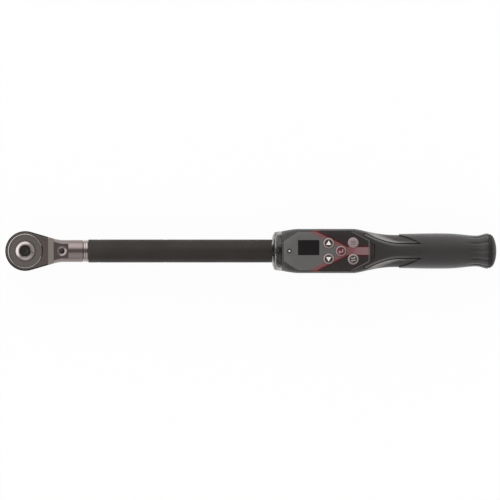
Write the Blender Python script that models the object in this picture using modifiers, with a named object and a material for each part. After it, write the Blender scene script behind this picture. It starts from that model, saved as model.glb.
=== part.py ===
"""Electronic torque wrench with a reversible ratchet head, built as separate parts.

Units are metres. +X runs from the drive square to the grip, +Z is the display side.
The origin is the centre of the drive square's end face.
"""
import math

import bmesh
import bpy
from mathutils import Matrix, Vector

MM = 0.001

# Clearances shared by every fit.
SEAT_GAP = 0.15 * MM
RUN_GAP = 0.3 * MM

# Drive gear with its half inch square.
SQUARE_SIZE = 12.7 * MM
SQUARE_LENGTH = 16.2 * MM
SQUARE_CORNER = 1.0 * MM
JOURNAL_REVEAL = 0.4 * MM
TOOTH_COUNT = 36
TOOTH_DEPTH = 0.8 * MM
GEAR_THICKNESS = 10.6 * MM
BALL_RADIUS = 2.2 * MM
BALL_REVEAL = 0.9 * MM
BALL_HEIGHT = 8.0 * MM

# Quick release button and its rod.
BUTTON_RADIUS = 4.3 * MM
BUTTON_CAP = 3.2 * MM
BUTTON_RECESS = 0.6 * MM
ROD_RADIUS = 2.2 * MM
ROD_NECK_RADIUS = 1.3 * MM
RELEASE_TRAVEL = 3.0 * MM
RELEASE_SEAT_DEPTH = 2.4 * MM
RELEASE_WIRE = 0.35 * MM

# Pawl and reversing dial.
PAWL_DEPTH = 3.0 * MM
PAWL_PIN_RADIUS = 0.8 * MM
PAWL_SWING = math.radians(5.8)
PAWL_TIP_ANGLE = math.radians(35.0)
DIAL_SWING = math.radians(12.0)
DIAL_RADIUS = 8.55 * MM
DIAL_FLANGE = 1.5 * MM
DIAL_RISE = 1.9 * MM
FINGER_DEPTH = 1.2 * MM
FINGER_WIDTH = 3.2 * MM
PLUNGER_RADIUS = 0.6 * MM

# Head body, cover plate and snap ring.
HEAD_BELOW = 10.5 * MM
HEAD_FLOOR = 3.4 * MM
HEAD_WALL = 1.5 * MM
COVER_LEDGE = 0.6 * MM
COVER_THICKNESS = 2.6 * MM
SNAP_GROOVE_DEPTH = 0.7 * MM
SNAP_THICKNESS = 1.0 * MM
SNAP_WIDTH = 1.6 * MM
SNAP_OPENING = math.radians(36.0)
RIM_REVEAL = 1.2 * MM
TONGUE_REACH = 2.8 * MM
SHOULDER_LENGTH = 4.9 * MM
SHOULDER_WIDTH = 25.2 * MM

# Nine by twelve spigot, socket neck and bending beam.
SPIGOT_WIDTH = 12.0 * MM
SPIGOT_HEIGHT = 9.0 * MM
SPIGOT_LENGTH = 15.5 * MM
NECK_WALL = 2.9 * MM
NECK_RADIUS = 9.9 * MM
MOUTH_RADIUS = 11.1 * MM
NECK_FLARE = 8.0 * MM
NECK_FLAT_LENGTH = 13.2 * MM
NECK_LENGTH = 26.1 * MM
LATCH_OFFSET = 7.1 * MM
LATCH_RADIUS = 2.2 * MM
LATCH_LENGTH = 5.4 * MM
LATCH_TRAVEL = 2.6 * MM
LATCH_DISH = 2.0 * MM
LATCH_WIRE = 0.3 * MM
SHANK_LENGTH = 23.0 * MM
BEAM_LENGTH = 43.0 * MM
BEAM_HALF_WIDTH = 4.5 * MM
BEAM_HALF_HEIGHT = 6.2 * MM
PLUG_LENGTH = 16.0 * MM
GAUGE_SIZE = (7.0 * MM, 0.35 * MM, 5.0 * MM)
COLLAR_LENGTH = 4.0 * MM
LEAD_RADIUS = 0.6 * MM
LEAD_BEND = 2.4 * MM

# Barrel and clear light ring.
BARREL_RADIUS = 10.35 * MM
BARREL_WALL = 2.0 * MM
BARREL_EXPOSED = 165.4 * MM
PIN_RADIUS = 1.5 * MM
LENS_LENGTH = 8.6 * MM
LENS_WALL = 2.6 * MM
LENS_FACE = 3.2 * MM
LENS_NOSE = 1.2 * MM
LED_BOARD_WIDTH = 4.25 * MM
LED_BOARD_THICKNESS = 1.0 * MM
FRONT_BOSS = 1.2 * MM

# Display housing.
HOUSING_WALL = 2.2 * MM
HOUSING_DOWN = 18.5 * MM
BASE_FLAT = 0.3 * MM
FLARE_LENGTH = 14.6 * MM
BODY_LENGTH = 50.0 * MM
TAIL_LENGTH = 40.7 * MM
SPLIT_HEIGHT = 3.0 * MM
BOSS_RADIUS = 3.6 * MM
BOSS_MARGIN = 1.7 * MM
SCREW_RADIUS = 1.4 * MM
SCREW_HEAD_RADIUS = 2.5 * MM
SCREW_HEAD_HEIGHT = 2.2 * MM
SCREW_SINK = 0.8 * MM
SCREW_BITE = 6.0 * MM
RIB_THICKNESS = 3.0 * MM

# Keypad panel, board and keys.
PANEL_RISE = 1.8 * MM
PANEL_LIP = 1.0 * MM
PANEL_HALF_WIDTH = 17.6 * MM
PANEL_FRONT_HALF = 8.8 * MM
PANEL_REAR_HALF = 9.6 * MM
PANEL_REAR_RUN = 14.5 * MM
OVERLAY_THICKNESS = 1.0 * MM
TOP_WALL = 2.1 * MM
BOARD_LIFT = 0.65 * MM
BOARD_THICKNESS = 1.6 * MM
BOARD_HALF_WIDTH = 10.4 * MM
KEY_RADIUS = 4.9 * MM
KEY_RISE = 0.5 * MM
KEY_TRAVEL = 0.5 * MM
KEY_FLANGE = 0.6 * MM
KEY_FLANGE_WIDTH = 0.9 * MM
SWITCH_SIZE = 6.0 * MM
SWITCH_HEIGHT = 1.25 * MM
SCREEN_HEIGHT = 13.3 * MM
SCREEN_OFFSET = 3.05 * MM
SCREEN_LEDGE = 0.8 * MM
STATUS_RADIUS = 1.1 * MM
BUZZER_RADIUS = 3.5 * MM
BUZZER_HEIGHT = 2.0 * MM
POST_RADIUS = 2.2 * MM
BOARD_SCREW_RADIUS = 1.0 * MM

# Handle tube, battery, grip and end cap.
BATTERY_RADIUS = 9.2 * MM
BATTERY_LENGTH = 65.0 * MM
HANDLE_WALL = 1.9 * MM
WRIST_WALL = 2.6 * MM
JOINT_GRIP = 20.0 * MM
JOINT_BORE = 3.0 * MM
POWER_LEAD_RADIUS = 0.8 * MM
POWER_LEAD_BEND = 5.0 * MM
CONTACT_THICKNESS = 0.8 * MM
BATTERY_SPRING_LENGTH = 5.8 * MM
BATTERY_SPRING_WIRE = 0.4 * MM
GRIP_LENGTH = 80.5 * MM
GRIP_STEP = 1.0 * MM
GRIP_BELLY = 15.9 * MM
GRIP_WAIST = 13.9 * MM
GRIP_FLARE = 15.7 * MM
GROOVE_WIDTH = 0.7 * MM
TONGUE_FRONT_HALF = 12.2 * MM
TONGUE_HALF = 6.5 * MM
TONGUE_FLOOR = 6.0 * MM
WING_LENGTH = 17.4 * MM
CAP_LENGTH = 6.9 * MM
CAP_RADIUS = 15.2 * MM
CAP_PLUG = 12.8 * MM
SEAL_RADIUS = 0.8 * MM

# Radii worked outward from the square to the head's rim.
SQUARE_REACH = math.hypot(SQUARE_SIZE / 2, SQUARE_SIZE / 2 - SQUARE_CORNER)
JOURNAL_RADIUS = SQUARE_REACH + 0.1 * MM
GEAR_ROOT = JOURNAL_RADIUS + 0.4 * MM
GEAR_RADIUS = GEAR_ROOT + TOOTH_DEPTH
PAWL_INNER = GEAR_RADIUS + 0.5 * MM
PAWL_OUTER = PAWL_INNER + PAWL_DEPTH
PAWL_PIVOT = (PAWL_INNER + PAWL_OUTER) / 2
FINGER_INNER = PAWL_OUTER + 0.5 * MM
FINGER_OUTER = FINGER_INNER + FINGER_DEPTH
CAVITY_RADIUS = FINGER_OUTER + RUN_GAP
COVER_SEAT = CAVITY_RADIUS + COVER_LEDGE
SNAP_GROOVE = COVER_SEAT + SNAP_GROOVE_DEPTH
HEAD_RADIUS = SNAP_GROOVE + HEAD_WALL
DIAL_BORE = BUTTON_RADIUS + RUN_GAP
ROD_BORE = ROD_RADIUS + RUN_GAP
RELEASE_COIL = ROD_RADIUS + 3 * RELEASE_WIRE
RELEASE_SEAT_RADIUS = RELEASE_COIL + RELEASE_WIRE + RUN_GAP

# Heights worked upward from the square's end to the dial.
AXIS = SQUARE_LENGTH + JOURNAL_REVEAL + HEAD_BELOW
HEAD_BOTTOM = AXIS - HEAD_BELOW
CAVITY_FLOOR = HEAD_BOTTOM + HEAD_FLOOR
PAWL_PIN_SEAT = CAVITY_FLOOR - HEAD_FLOOR * 0.6
GEAR_BOTTOM = CAVITY_FLOOR + SEAT_GAP
GEAR_TOP = GEAR_BOTTOM + GEAR_THICKNESS
DIAL_BOTTOM = GEAR_TOP + RUN_GAP
DIAL_SHOULDER = DIAL_BOTTOM + DIAL_FLANGE
COVER_SHELF = DIAL_SHOULDER + RUN_GAP
COVER_BOTTOM = COVER_SHELF + SEAT_GAP
COVER_TOP = COVER_BOTTOM + COVER_THICKNESS
SNAP_BOTTOM = COVER_TOP + SEAT_GAP
SNAP_TOP = SNAP_BOTTOM + SNAP_THICKNESS
HEAD_TOP = SNAP_TOP + RIM_REVEAL
DIAL_TOP = HEAD_TOP + DIAL_RISE
BUTTON_TOP = DIAL_TOP - BUTTON_RECESS
BUTTON_BOTTOM = BUTTON_TOP - BUTTON_CAP
RELEASE_SEAT = GEAR_TOP - RELEASE_SEAT_DEPTH
ROD_END = BALL_HEIGHT - 0.6 * MM
NECK_FLAT = SPIGOT_HEIGHT / 2 + NECK_WALL
LATCH_TOP = AXIS + NECK_FLAT - 0.4 * MM
LATCH_BOTTOM = LATCH_TOP - LATCH_LENGTH
LATCH_SEAT = AXIS - SPIGOT_HEIGHT / 2 + 1.3 * MM

# Stations along the wrench, from the head to the end cap.
SHOULDER_X = HEAD_RADIUS + TONGUE_REACH
HEAD_END = SHOULDER_X + SHOULDER_LENGTH
NECK_X = HEAD_END + RUN_GAP
LATCH_X = NECK_X + LATCH_OFFSET
NECK_END = NECK_X + NECK_LENGTH
COLLAR_X = NECK_END + RUN_GAP
BARREL_X = COLLAR_X + COLLAR_LENGTH + RUN_GAP
BEAM_X = NECK_END + SHANK_LENGTH
PLUG_X = BEAM_X + BEAM_LENGTH
PLUG_END = PLUG_X + PLUG_LENGTH
LENS_X = BARREL_X + BARREL_EXPOSED
HOUSING_X = LENS_X + LENS_LENGTH + RUN_GAP
BODY_X = HOUSING_X + FLARE_LENGTH
TAIL_X = BODY_X + BODY_LENGTH
PANEL_X = HOUSING_X + PANEL_LIP + 0.4 * MM
PANEL_END = TAIL_X + PANEL_REAR_RUN
TONGUE_X = PANEL_END + PANEL_LIP + 4.6 * MM
HANDLE_X = TONGUE_X - 2.6 * MM
BARREL_END = HANDLE_X - 2 * RUN_GAP
GRIP_X = TAIL_X + TAIL_LENGTH
WING_END = GRIP_X + WING_LENGTH
GRIP_END = GRIP_X + GRIP_LENGTH
CAP_X = GRIP_END + RUN_GAP
PLUG_FRONT = CAP_X - CAP_PLUG
BATTERY_END = PLUG_FRONT - BATTERY_SPRING_LENGTH
BATTERY_X = BATTERY_END - BATTERY_LENGTH
CONTACT_X = BATTERY_X - SEAT_GAP - CONTACT_THICKNESS
JOINT_END = CONTACT_X - SEAT_GAP
JOINT_X = BARREL_END - JOINT_GRIP
BARREL_PINS = (BARREL_X + 9.5 * MM, PLUG_X + PLUG_LENGTH / 2, JOINT_X + JOINT_GRIP / 2)
PIN_DROP = JOINT_BORE + PIN_RADIUS + 0.7 * MM
PIN_DROPS = (0.0, 0.0, PIN_DROP)
HANDLE_PIN = (HANDLE_X + JOINT_END) / 2
LEAD_EXIT = HOUSING_X + 9.5 * MM
POWER_EXIT = BODY_X + 0.67 * BODY_LENGTH

# Housing heights and widths worked outward from the barrel.
BARREL_BORE = BARREL_RADIUS - BARREL_WALL
SHANK_RADIUS = BARREL_BORE - RUN_GAP
HANDLE_BORE = BATTERY_RADIUS + 0.4 * MM
HANDLE_RADIUS = HANDLE_BORE + HANDLE_WALL
TAIL_BORE = HANDLE_RADIUS + RUN_GAP
WRIST_RADIUS = TAIL_BORE + WRIST_WALL
SCREW_Y = BARREL_RADIUS + BOARD_LIFT + BOSS_RADIUS
HOUSING_HALF_WIDTH = SCREW_Y + BOSS_RADIUS + BOSS_MARGIN
BOARD_BOTTOM = AXIS + BARREL_RADIUS + BOARD_LIFT
BOARD_TOP = BOARD_BOTTOM + BOARD_THICKNESS
SWITCH_TOP = BOARD_TOP + SEAT_GAP + SWITCH_HEIGHT
KEY_BOTTOM = SWITCH_TOP + KEY_TRAVEL + 0.35 * MM
CEILING = KEY_BOTTOM + KEY_FLANGE + RUN_GAP
PANEL_FLOOR = CEILING + TOP_WALL
OVERLAY_BOTTOM = PANEL_FLOOR + SEAT_GAP
PANEL_TOP = OVERLAY_BOTTOM + OVERLAY_THICKNESS
HOUSING_UP = PANEL_TOP - PANEL_RISE - AXIS
SPLIT = AXIS + SPLIT_HEIGHT
LENS_BORE = BARREL_RADIUS + RUN_GAP
LED_RING = LENS_BORE + LED_BOARD_WIDTH
LENS_CAVITY = LED_RING + RUN_GAP
FRONT_RADIUS = LENS_CAVITY + LENS_WALL
BOSS_FRONT = HOUSING_X - FRONT_BOSS
SCREW_SEAT = AXIS - HOUSING_DOWN + BASE_FLAT + SCREW_SINK + SCREW_HEAD_HEIGHT
SCREW_STATIONS = (BODY_X + 0.09 * BODY_LENGTH, BODY_X + 0.8 * BODY_LENGTH)
RIB_STATIONS = (BODY_X + 0.3 * BODY_LENGTH, BODY_X + 0.62 * BODY_LENGTH)

# Panel features placed as shares of the body's length.
KEYS = {
    "up": (BODY_X + 0.548 * BODY_LENGTH, 7.0 * MM),
    "down": (BODY_X + 0.548 * BODY_LENGTH, -7.0 * MM),
    "enter": (BODY_X + 0.77 * BODY_LENGTH, 0.0),
    "menu": (BODY_X + 0.99 * BODY_LENGTH, 7.4 * MM),
    "units": (BODY_X + 0.99 * BODY_LENGTH, -7.4 * MM),
}
SCREEN_LENGTH = 0.378 * BODY_LENGTH
SCREEN_X = BODY_X + 0.188 * BODY_LENGTH
STATUS_X = BODY_X - 7.8 * MM
BUZZER_X = BODY_X + 1.12 * BODY_LENGTH
BOARD_X = HOUSING_X + 5.1 * MM
BOARD_END = TAIL_X + 12.5 * MM
POSTS = ((BODY_X - 5.3 * MM, 7.5 * MM), (TAIL_X + 8.5 * MM, -8.0 * MM))

# Outline steps as pairs: share of the run, share of the change in size.
FRONT_STEPS = ((0.0, 0.0), (0.2, 0.27), (0.45, 0.58), (0.72, 0.86), (1.0, 1.0))
TAIL_STEPS = ((0.0, 0.0), (0.12, 0.1), (0.27, 0.38), (0.5, 0.74), (0.7, 0.9), (1.0, 1.0))
BODY_POWER = 5.0
RING_POINTS = 36


def mix(start, end, share):
    return start + (end - start) * share


def polar(radius, angle):
    return (radius * math.cos(angle), radius * math.sin(angle))


def arc(radius, start, end, count):
    return [polar(radius, mix(start, end, step / count)) for step in range(count + 1)]


def mirrored(points):
    return points + [(x, -y) for x, y in reversed(points)]


def clear_scene():
    for obj in list(bpy.data.objects):
        bpy.data.objects.remove(obj, do_unlink=True)
    for group in list(bpy.data.collections):
        bpy.data.collections.remove(group)


clear_scene()
PARTS = bpy.data.collections.new("torque_wrench")
CUTTERS = bpy.data.collections.new("cutters")
for group in (PARTS, CUTTERS):
    bpy.context.scene.collection.children.link(group)


def material(name, colour, roughness, metallic=0.0):
    look = bpy.data.materials.new(name)
    look.use_nodes = True
    shader = look.node_tree.nodes["Principled BSDF"]
    shader.inputs["Base Color"].default_value = (*colour, 1.0)
    shader.inputs["Roughness"].default_value = roughness
    shader.inputs["Metallic"].default_value = metallic
    return look


LOOKS = {
    "satin_chrome": ((0.55, 0.53, 0.51), 0.3, 1.0),
    "bright_chrome": ((0.75, 0.74, 0.73), 0.12, 1.0),
    "tool_steel": ((0.35, 0.34, 0.33), 0.4, 1.0),
    "black_barrel": ((0.03, 0.03, 0.03), 0.3, 0.0),
    "clear_lens": ((0.8, 0.8, 0.78), 0.05, 0.0),
    "black_housing": ((0.03, 0.03, 0.03), 0.45, 0.0),
    "printed_panel": ((0.12, 0.12, 0.12), 0.35, 0.0),
    "screen_glass": ((0.01, 0.01, 0.012), 0.08, 0.0),
    "key_grey": ((0.25, 0.24, 0.23), 0.5, 0.0),
    "board_green": ((0.02, 0.12, 0.05), 0.5, 0.0),
    "component_black": ((0.02, 0.02, 0.02), 0.5, 0.0),
    "gauge_foil": ((0.6, 0.3, 0.1), 0.4, 0.0),
    "battery_wrap": ((0.05, 0.15, 0.35), 0.35, 0.0),
    "grip_rubber": ((0.03, 0.028, 0.027), 0.75, 0.0),
}
MATERIALS = {name: material(name, *values) for name, values in LOOKS.items()}


def place(name, mesh, look):
    """Link a mesh as a part, or as a cutter when it has no look."""
    obj = bpy.data.objects.new(name, mesh)
    if look:
        mesh.materials.clear()
        mesh.materials.append(MATERIALS[look])
        PARTS.objects.link(obj)
    else:
        CUTTERS.objects.link(obj)
        obj.hide_render = True
        obj.display_type = "WIRE"
    return obj


def finish_mesh(name, bm, look):
    bmesh.ops.recalc_face_normals(bm, faces=bm.faces)
    mesh = bpy.data.meshes.new(name)
    bm.to_mesh(mesh)
    bm.free()
    return place(name, mesh, look)


def box(name, low, high, look=None):
    bm = bmesh.new()
    bmesh.ops.create_cube(bm, size=1.0)
    size = [b - a for a, b in zip(low, high)]
    centre = [(a + b) / 2 for a, b in zip(low, high)]
    matrix = Matrix.Translation(centre) @ Matrix.Diagonal((*size, 1.0))
    bmesh.ops.transform(bm, matrix=matrix, verts=bm.verts)
    return finish_mesh(name, bm, look)


def cylinder(name, radius, start, end, look=None, sides=24):
    """Round bar between two points."""
    start = Vector(start)
    span = Vector(end) - start
    turn = span.to_track_quat("Z", "Y").to_matrix().to_4x4()
    matrix = Matrix.Translation(start + span / 2) @ turn
    bm = bmesh.new()
    bmesh.ops.create_cone(bm, cap_ends=True, segments=sides, radius1=radius, radius2=radius,
                          depth=span.length, matrix=matrix)
    return finish_mesh(name, bm, look)


def upright(name, radius, x, y, low, high, look=None, sides=24):
    return cylinder(name, radius, (x, y, low), (x, y, high), look, sides)


def hull(name, points, look=None):
    bm = bmesh.new()
    for point in points:
        bm.verts.new(point)
    bmesh.ops.convex_hull(bm, input=bm.verts)
    return finish_mesh(name, bm, look)


def turned(name, profile, look=None, ring=False, lengthwise=False, centre=(0.0, 0.0), steps=36):
    """Revolve a profile of (radius, position) pairs, run from the far end down its outer side.

    Upright pieces turn about Z through the centre; lengthwise ones about the wrench's own axis.
    """
    mesh = bpy.data.meshes.new(name)
    edges = [(index, index + 1) for index in range(len(profile) - 1)]
    if ring:
        edges.append((len(profile) - 1, 0))
    mesh.from_pydata([(radius, 0.0, position) for radius, position in profile], edges, [])
    obj = place(name, mesh, look)
    screw = obj.modifiers.new("Turn", "SCREW")
    screw.steps = steps
    screw.render_steps = steps
    screw.use_merge_vertices = True
    screw.merge_threshold = 1e-6
    if lengthwise:
        obj.rotation_euler = (0.0, math.pi / 2, 0.0)
        obj.location = (0.0, 0.0, AXIS)
    else:
        obj.location = (*centre, 0.0)
    return obj


def to_mesh(name, obj, look):
    """Turn a curve object into a welded mesh object."""
    bpy.context.view_layer.update()
    evaluated = obj.evaluated_get(bpy.context.evaluated_depsgraph_get())
    mesh = bpy.data.meshes.new_from_object(evaluated)
    bm = bmesh.new()
    bm.from_mesh(mesh)
    bmesh.ops.remove_doubles(bm, verts=bm.verts, dist=1e-6)
    bmesh.ops.recalc_face_normals(bm, faces=bm.faces)
    bm.to_mesh(mesh)
    bm.free()
    mesh.name = name
    solid = place(name, mesh, look)
    solid.matrix_world = obj.matrix_world
    bpy.data.objects.remove(obj, do_unlink=True)
    return solid


def poly_curve(name, points, cyclic):
    curve = bpy.data.curves.new(name, "CURVE")
    spline = curve.splines.new("POLY")
    spline.points.add(len(points) - 1)
    for target, point in zip(spline.points, points):
        target.co = (*point, 1.0)
    spline.use_cyclic_u = cyclic
    obj = bpy.data.objects.new(name + "_line", curve)
    bpy.context.scene.collection.objects.link(obj)
    return obj


def plate(name, outline, low, high, look=None):
    """Flat outline in plan, thickened between two heights."""
    obj = poly_curve(name, [(x, y, 0.0) for x, y in outline], True)
    obj.data.dimensions = "2D"
    obj.data.fill_mode = "BOTH"
    obj.data.extrude = (high - low) / 2
    obj.location.z = (low + high) / 2
    return to_mesh(name, obj, look)


def tube(name, points, radius, look):
    """Round lead or wire along a path."""
    obj = poly_curve(name, points, False)
    obj.data.dimensions = "3D"
    obj.data.bevel_depth = radius
    obj.data.bevel_resolution = 1
    obj.data.use_fill_caps = True
    return to_mesh(name, obj, look)


def coil(name, radius, wire, length, turns, matrix, look):
    """Helical spring along the matrix's Z, with its least gap between turns printed."""
    per_turn = 8
    count = int(per_turn * turns)
    points = []
    for step in range(count + 1):
        x, y = polar(radius, 2 * math.pi * step / per_turn)
        points.append(matrix @ Vector((x, y, mix(wire, length - wire, step / count))))
    gaps = [(a - b).length - 2 * wire for i, a in enumerate(points) for b in points[i + per_turn // 2:]]
    print(f"{name}: least gap {min(gaps) / MM:.2f} mm")
    return tube(name, points, wire, look)


def loft(name, rows, look=None):
    """Skin over rounded-square sections: (x, half width, up, down, power) rows."""
    bm = bmesh.new()
    rings = []
    for x, half, up, down, power in rows:
        ring = []
        for step in range(RING_POINTS):
            c, s = polar(1.0, 2 * math.pi * step / RING_POINTS)
            y = math.copysign(abs(c) ** (2 / power), c) * half
            z = math.copysign(abs(s) ** (2 / power), s) * (up if s > 0 else down)
            ring.append(bm.verts.new((x, y, AXIS + z)))
        rings.append(ring)
    for first, second in zip(rings, rings[1:]):
        for step in range(RING_POINTS):
            after = (step + 1) % RING_POINTS
            bm.faces.new((first[step], first[after], second[after], second[step]))
    bm.faces.new(rings[0])
    bm.faces.new(rings[-1])
    return finish_mesh(name, bm, look)


def combine(obj, operation, others):
    for other in others:
        boolean = obj.modifiers.new(other.name, "BOOLEAN")
        boolean.operation = operation
        boolean.solver = "EXACT"
        boolean.object = other
    return obj


def cut(obj, *others):
    return combine(obj, "DIFFERENCE", others)


def join(obj, *others):
    return combine(obj, "UNION", others)


def keep(obj, *others):
    return combine(obj, "INTERSECT", others)


def bevel(obj, width, segments=2, angle=40.0):
    edge = obj.modifiers.new("Edges", "BEVEL")
    edge.width = width
    edge.segments = segments
    edge.limit_method = "ANGLE"
    edge.angle_limit = math.radians(angle)
    return obj


def crosswise(name, radius, x, half, look=None, drop=0.0):
    """Bar from side to side, through the wrench's axis or dropped below it."""
    return cylinder(name, radius, (x, -half, AXIS - drop), (x, half, AXIS - drop), look, 20)


def pin_half(outer, drop):
    """Half length of a cross pin that stays inside a tube's outer face."""
    return math.sqrt(outer ** 2 - (drop + PIN_RADIUS) ** 2) - RUN_GAP


def along(name, radius, start, end, look=None, sides=36):
    """Bar on the wrench's axis."""
    return cylinder(name, radius, (start, 0.0, AXIS), (end, 0.0, AXIS), look, sides)


def head_body():
    """Rim, shoulder and spigot, hollowed for the ratchet."""
    half = SHOULDER_WIDTH / 2
    touch = math.atan2(half, SHOULDER_X) + math.acos(HEAD_RADIUS / math.hypot(SHOULDER_X, half))
    outline = arc(HEAD_RADIUS, touch, 2 * math.pi - touch, 36) + [(SHOULDER_X, -half), (SHOULDER_X, half)]
    body = plate("head_body", outline, HEAD_BOTTOM, HEAD_TOP, "satin_chrome")
    end = NECK_FLAT + 0.2 * MM
    corners = []
    for side in (-1, 1):
        corners.append((SHOULDER_X - 0.1 * MM, side * half, HEAD_BOTTOM))
        corners.append((SHOULDER_X - 0.1 * MM, side * half, HEAD_TOP))
        corners.append((HEAD_END, side * MOUTH_RADIUS, AXIS - end))
        corners.append((HEAD_END, side * MOUTH_RADIUS, AXIS + end))
    wide = SPIGOT_WIDTH / 2 - SEAT_GAP
    tall = SPIGOT_HEIGHT / 2 - SEAT_GAP
    spigot = box("spigot", (SHOULDER_X, -wide, AXIS - tall), (HEAD_END + SPIGOT_LENGTH, wide, AXIS + tall))
    join(body, hull("shoulder", corners), spigot)
    groove = SNAP_BOTTOM - SEAT_GAP / 2
    pocket = turned("head_pocket", [
        (0.0, HEAD_TOP + MM),
        (COVER_SEAT, HEAD_TOP + MM),
        (COVER_SEAT, SNAP_TOP + SEAT_GAP),
        (SNAP_GROOVE, SNAP_TOP + SEAT_GAP),
        (SNAP_GROOVE, groove),
        (COVER_SEAT, groove),
        (COVER_SEAT, COVER_SHELF),
        (CAVITY_RADIUS, COVER_SHELF),
        (CAVITY_RADIUS, CAVITY_FLOOR),
        (JOURNAL_RADIUS + SEAT_GAP, CAVITY_FLOOR),
        (JOURNAL_RADIUS + SEAT_GAP, HEAD_BOTTOM - MM),
        (0.0, HEAD_BOTTOM - MM),
    ])
    pin_hole = upright("pawl_pin_hole", PAWL_PIN_RADIUS + SEAT_GAP, PAWL_PIVOT, 0.0, PAWL_PIN_SEAT, GEAR_TOP,
                       None, 16)
    latch_hole = upright("latch_hole", LATCH_RADIUS + RUN_GAP, LATCH_X, 0.0, LATCH_SEAT, LATCH_TOP)
    return cut(body, pocket, pin_hole, latch_hole)


def drive_gear():
    """Toothed wheel, journal and square in one, bored for the release rod and the ball."""
    pitch = 2 * math.pi / TOOTH_COUNT
    outline = []
    for tooth in range(TOOTH_COUNT):
        centre = tooth * pitch
        for share in (-0.38, -0.12, 0.12, 0.38):
            radius = GEAR_RADIUS if abs(share) < 0.2 else GEAR_ROOT
            outline.append(polar(radius, centre + share * pitch))
    gear = plate("drive_gear", outline, GEAR_BOTTOM, GEAR_TOP, "tool_steel")
    journal = upright("journal", JOURNAL_RADIUS, 0.0, 0.0, SQUARE_LENGTH, GEAR_BOTTOM + MM, None, 48)
    half = SQUARE_SIZE / 2
    square = box("square", (-half, -half, 0.0), (half, half, SQUARE_LENGTH + MM))
    bevel(square, SQUARE_CORNER, 1)
    join(gear, journal, square)
    bore = upright("rod_bore", ROD_BORE, 0.0, 0.0, ROD_END - RELEASE_TRAVEL - RUN_GAP, GEAR_TOP + MM)
    seat = upright("spring_seat", RELEASE_SEAT_RADIUS, 0.0, 0.0, RELEASE_SEAT, GEAR_TOP + MM)
    hole = cylinder("ball_hole", BALL_RADIUS + SEAT_GAP, (0.0, 0.0, BALL_HEIGHT),
                    (SQUARE_SIZE, 0.0, BALL_HEIGHT))
    return cut(gear, bore, seat, hole)


def detent_ball():
    """Ball that holds a socket on the square."""
    bm = bmesh.new()
    reach = SQUARE_SIZE / 2 + BALL_REVEAL - BALL_RADIUS
    bmesh.ops.create_uvsphere(bm, u_segments=16, v_segments=8, radius=BALL_RADIUS,
                              matrix=Matrix.Translation((reach, 0.0, BALL_HEIGHT)))
    return finish_mesh("detent_ball", bm, "bright_chrome")


def release_button():
    """Button cap with its rod; the rod's neck frees the ball when pressed."""
    neck = BALL_HEIGHT + RELEASE_TRAVEL
    return turned("release_button", [
        (0.0, BUTTON_TOP),
        (BUTTON_RADIUS - 0.5 * MM, BUTTON_TOP),
        (BUTTON_RADIUS, BUTTON_TOP - 0.5 * MM),
        (BUTTON_RADIUS, BUTTON_BOTTOM),
        (ROD_RADIUS, BUTTON_BOTTOM),
        (ROD_RADIUS, neck + 1.9 * MM),
        (ROD_NECK_RADIUS, neck + 0.8 * MM),
        (ROD_NECK_RADIUS, neck - 0.8 * MM),
        (ROD_RADIUS, neck - 1.9 * MM),
        (ROD_RADIUS, ROD_END),
        (0.0, ROD_END),
    ], "component_black", steps=24)


def button_spring():
    """Return spring under the button cap."""
    low = RELEASE_SEAT + SEAT_GAP
    length = BUTTON_BOTTOM - SEAT_GAP - low
    matrix = Matrix.Translation((0.0, 0.0, low))
    return coil("button_spring", RELEASE_COIL, RELEASE_WIRE, length, 5, matrix, "tool_steel")


def reversing_dial():
    """Raised ring with a flange under the cover and a finger behind the pawl."""
    dial = turned("reversing_dial", [
        (DIAL_BORE, DIAL_TOP),
        (DIAL_RADIUS - 0.9 * MM, DIAL_TOP),
        (DIAL_RADIUS, DIAL_TOP - 0.9 * MM),
        (DIAL_RADIUS, DIAL_SHOULDER),
        (FINGER_OUTER, DIAL_SHOULDER),
        (FINGER_OUTER, DIAL_BOTTOM),
        (DIAL_BORE, DIAL_BOTTOM),
    ], "bright_chrome", ring=True)
    half = FINGER_WIDTH / 2
    reach = math.sqrt(FINGER_OUTER ** 2 - half ** 2)
    middle = mix(CAVITY_FLOOR, GEAR_TOP, 0.55)
    finger = box("finger", (FINGER_INNER, -half, middle - half), (reach, half, DIAL_SHOULDER - 0.2 * MM))
    hole = cylinder("plunger_hole", PLUNGER_RADIUS + SEAT_GAP, (PAWL_OUTER, 0.0, middle),
                    (CAVITY_RADIUS, 0.0, middle), None, 16)
    plunger = cylinder("pawl_plunger", PLUNGER_RADIUS, (PAWL_OUTER + RUN_GAP, 0.0, middle),
                       (FINGER_OUTER - SEAT_GAP, 0.0, middle), "tool_steel", 16)
    for obj in (dial, finger, hole, plunger):
        obj.rotation_euler.z = -DIAL_SWING
    join(dial, finger)
    return cut(dial, hole)


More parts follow.
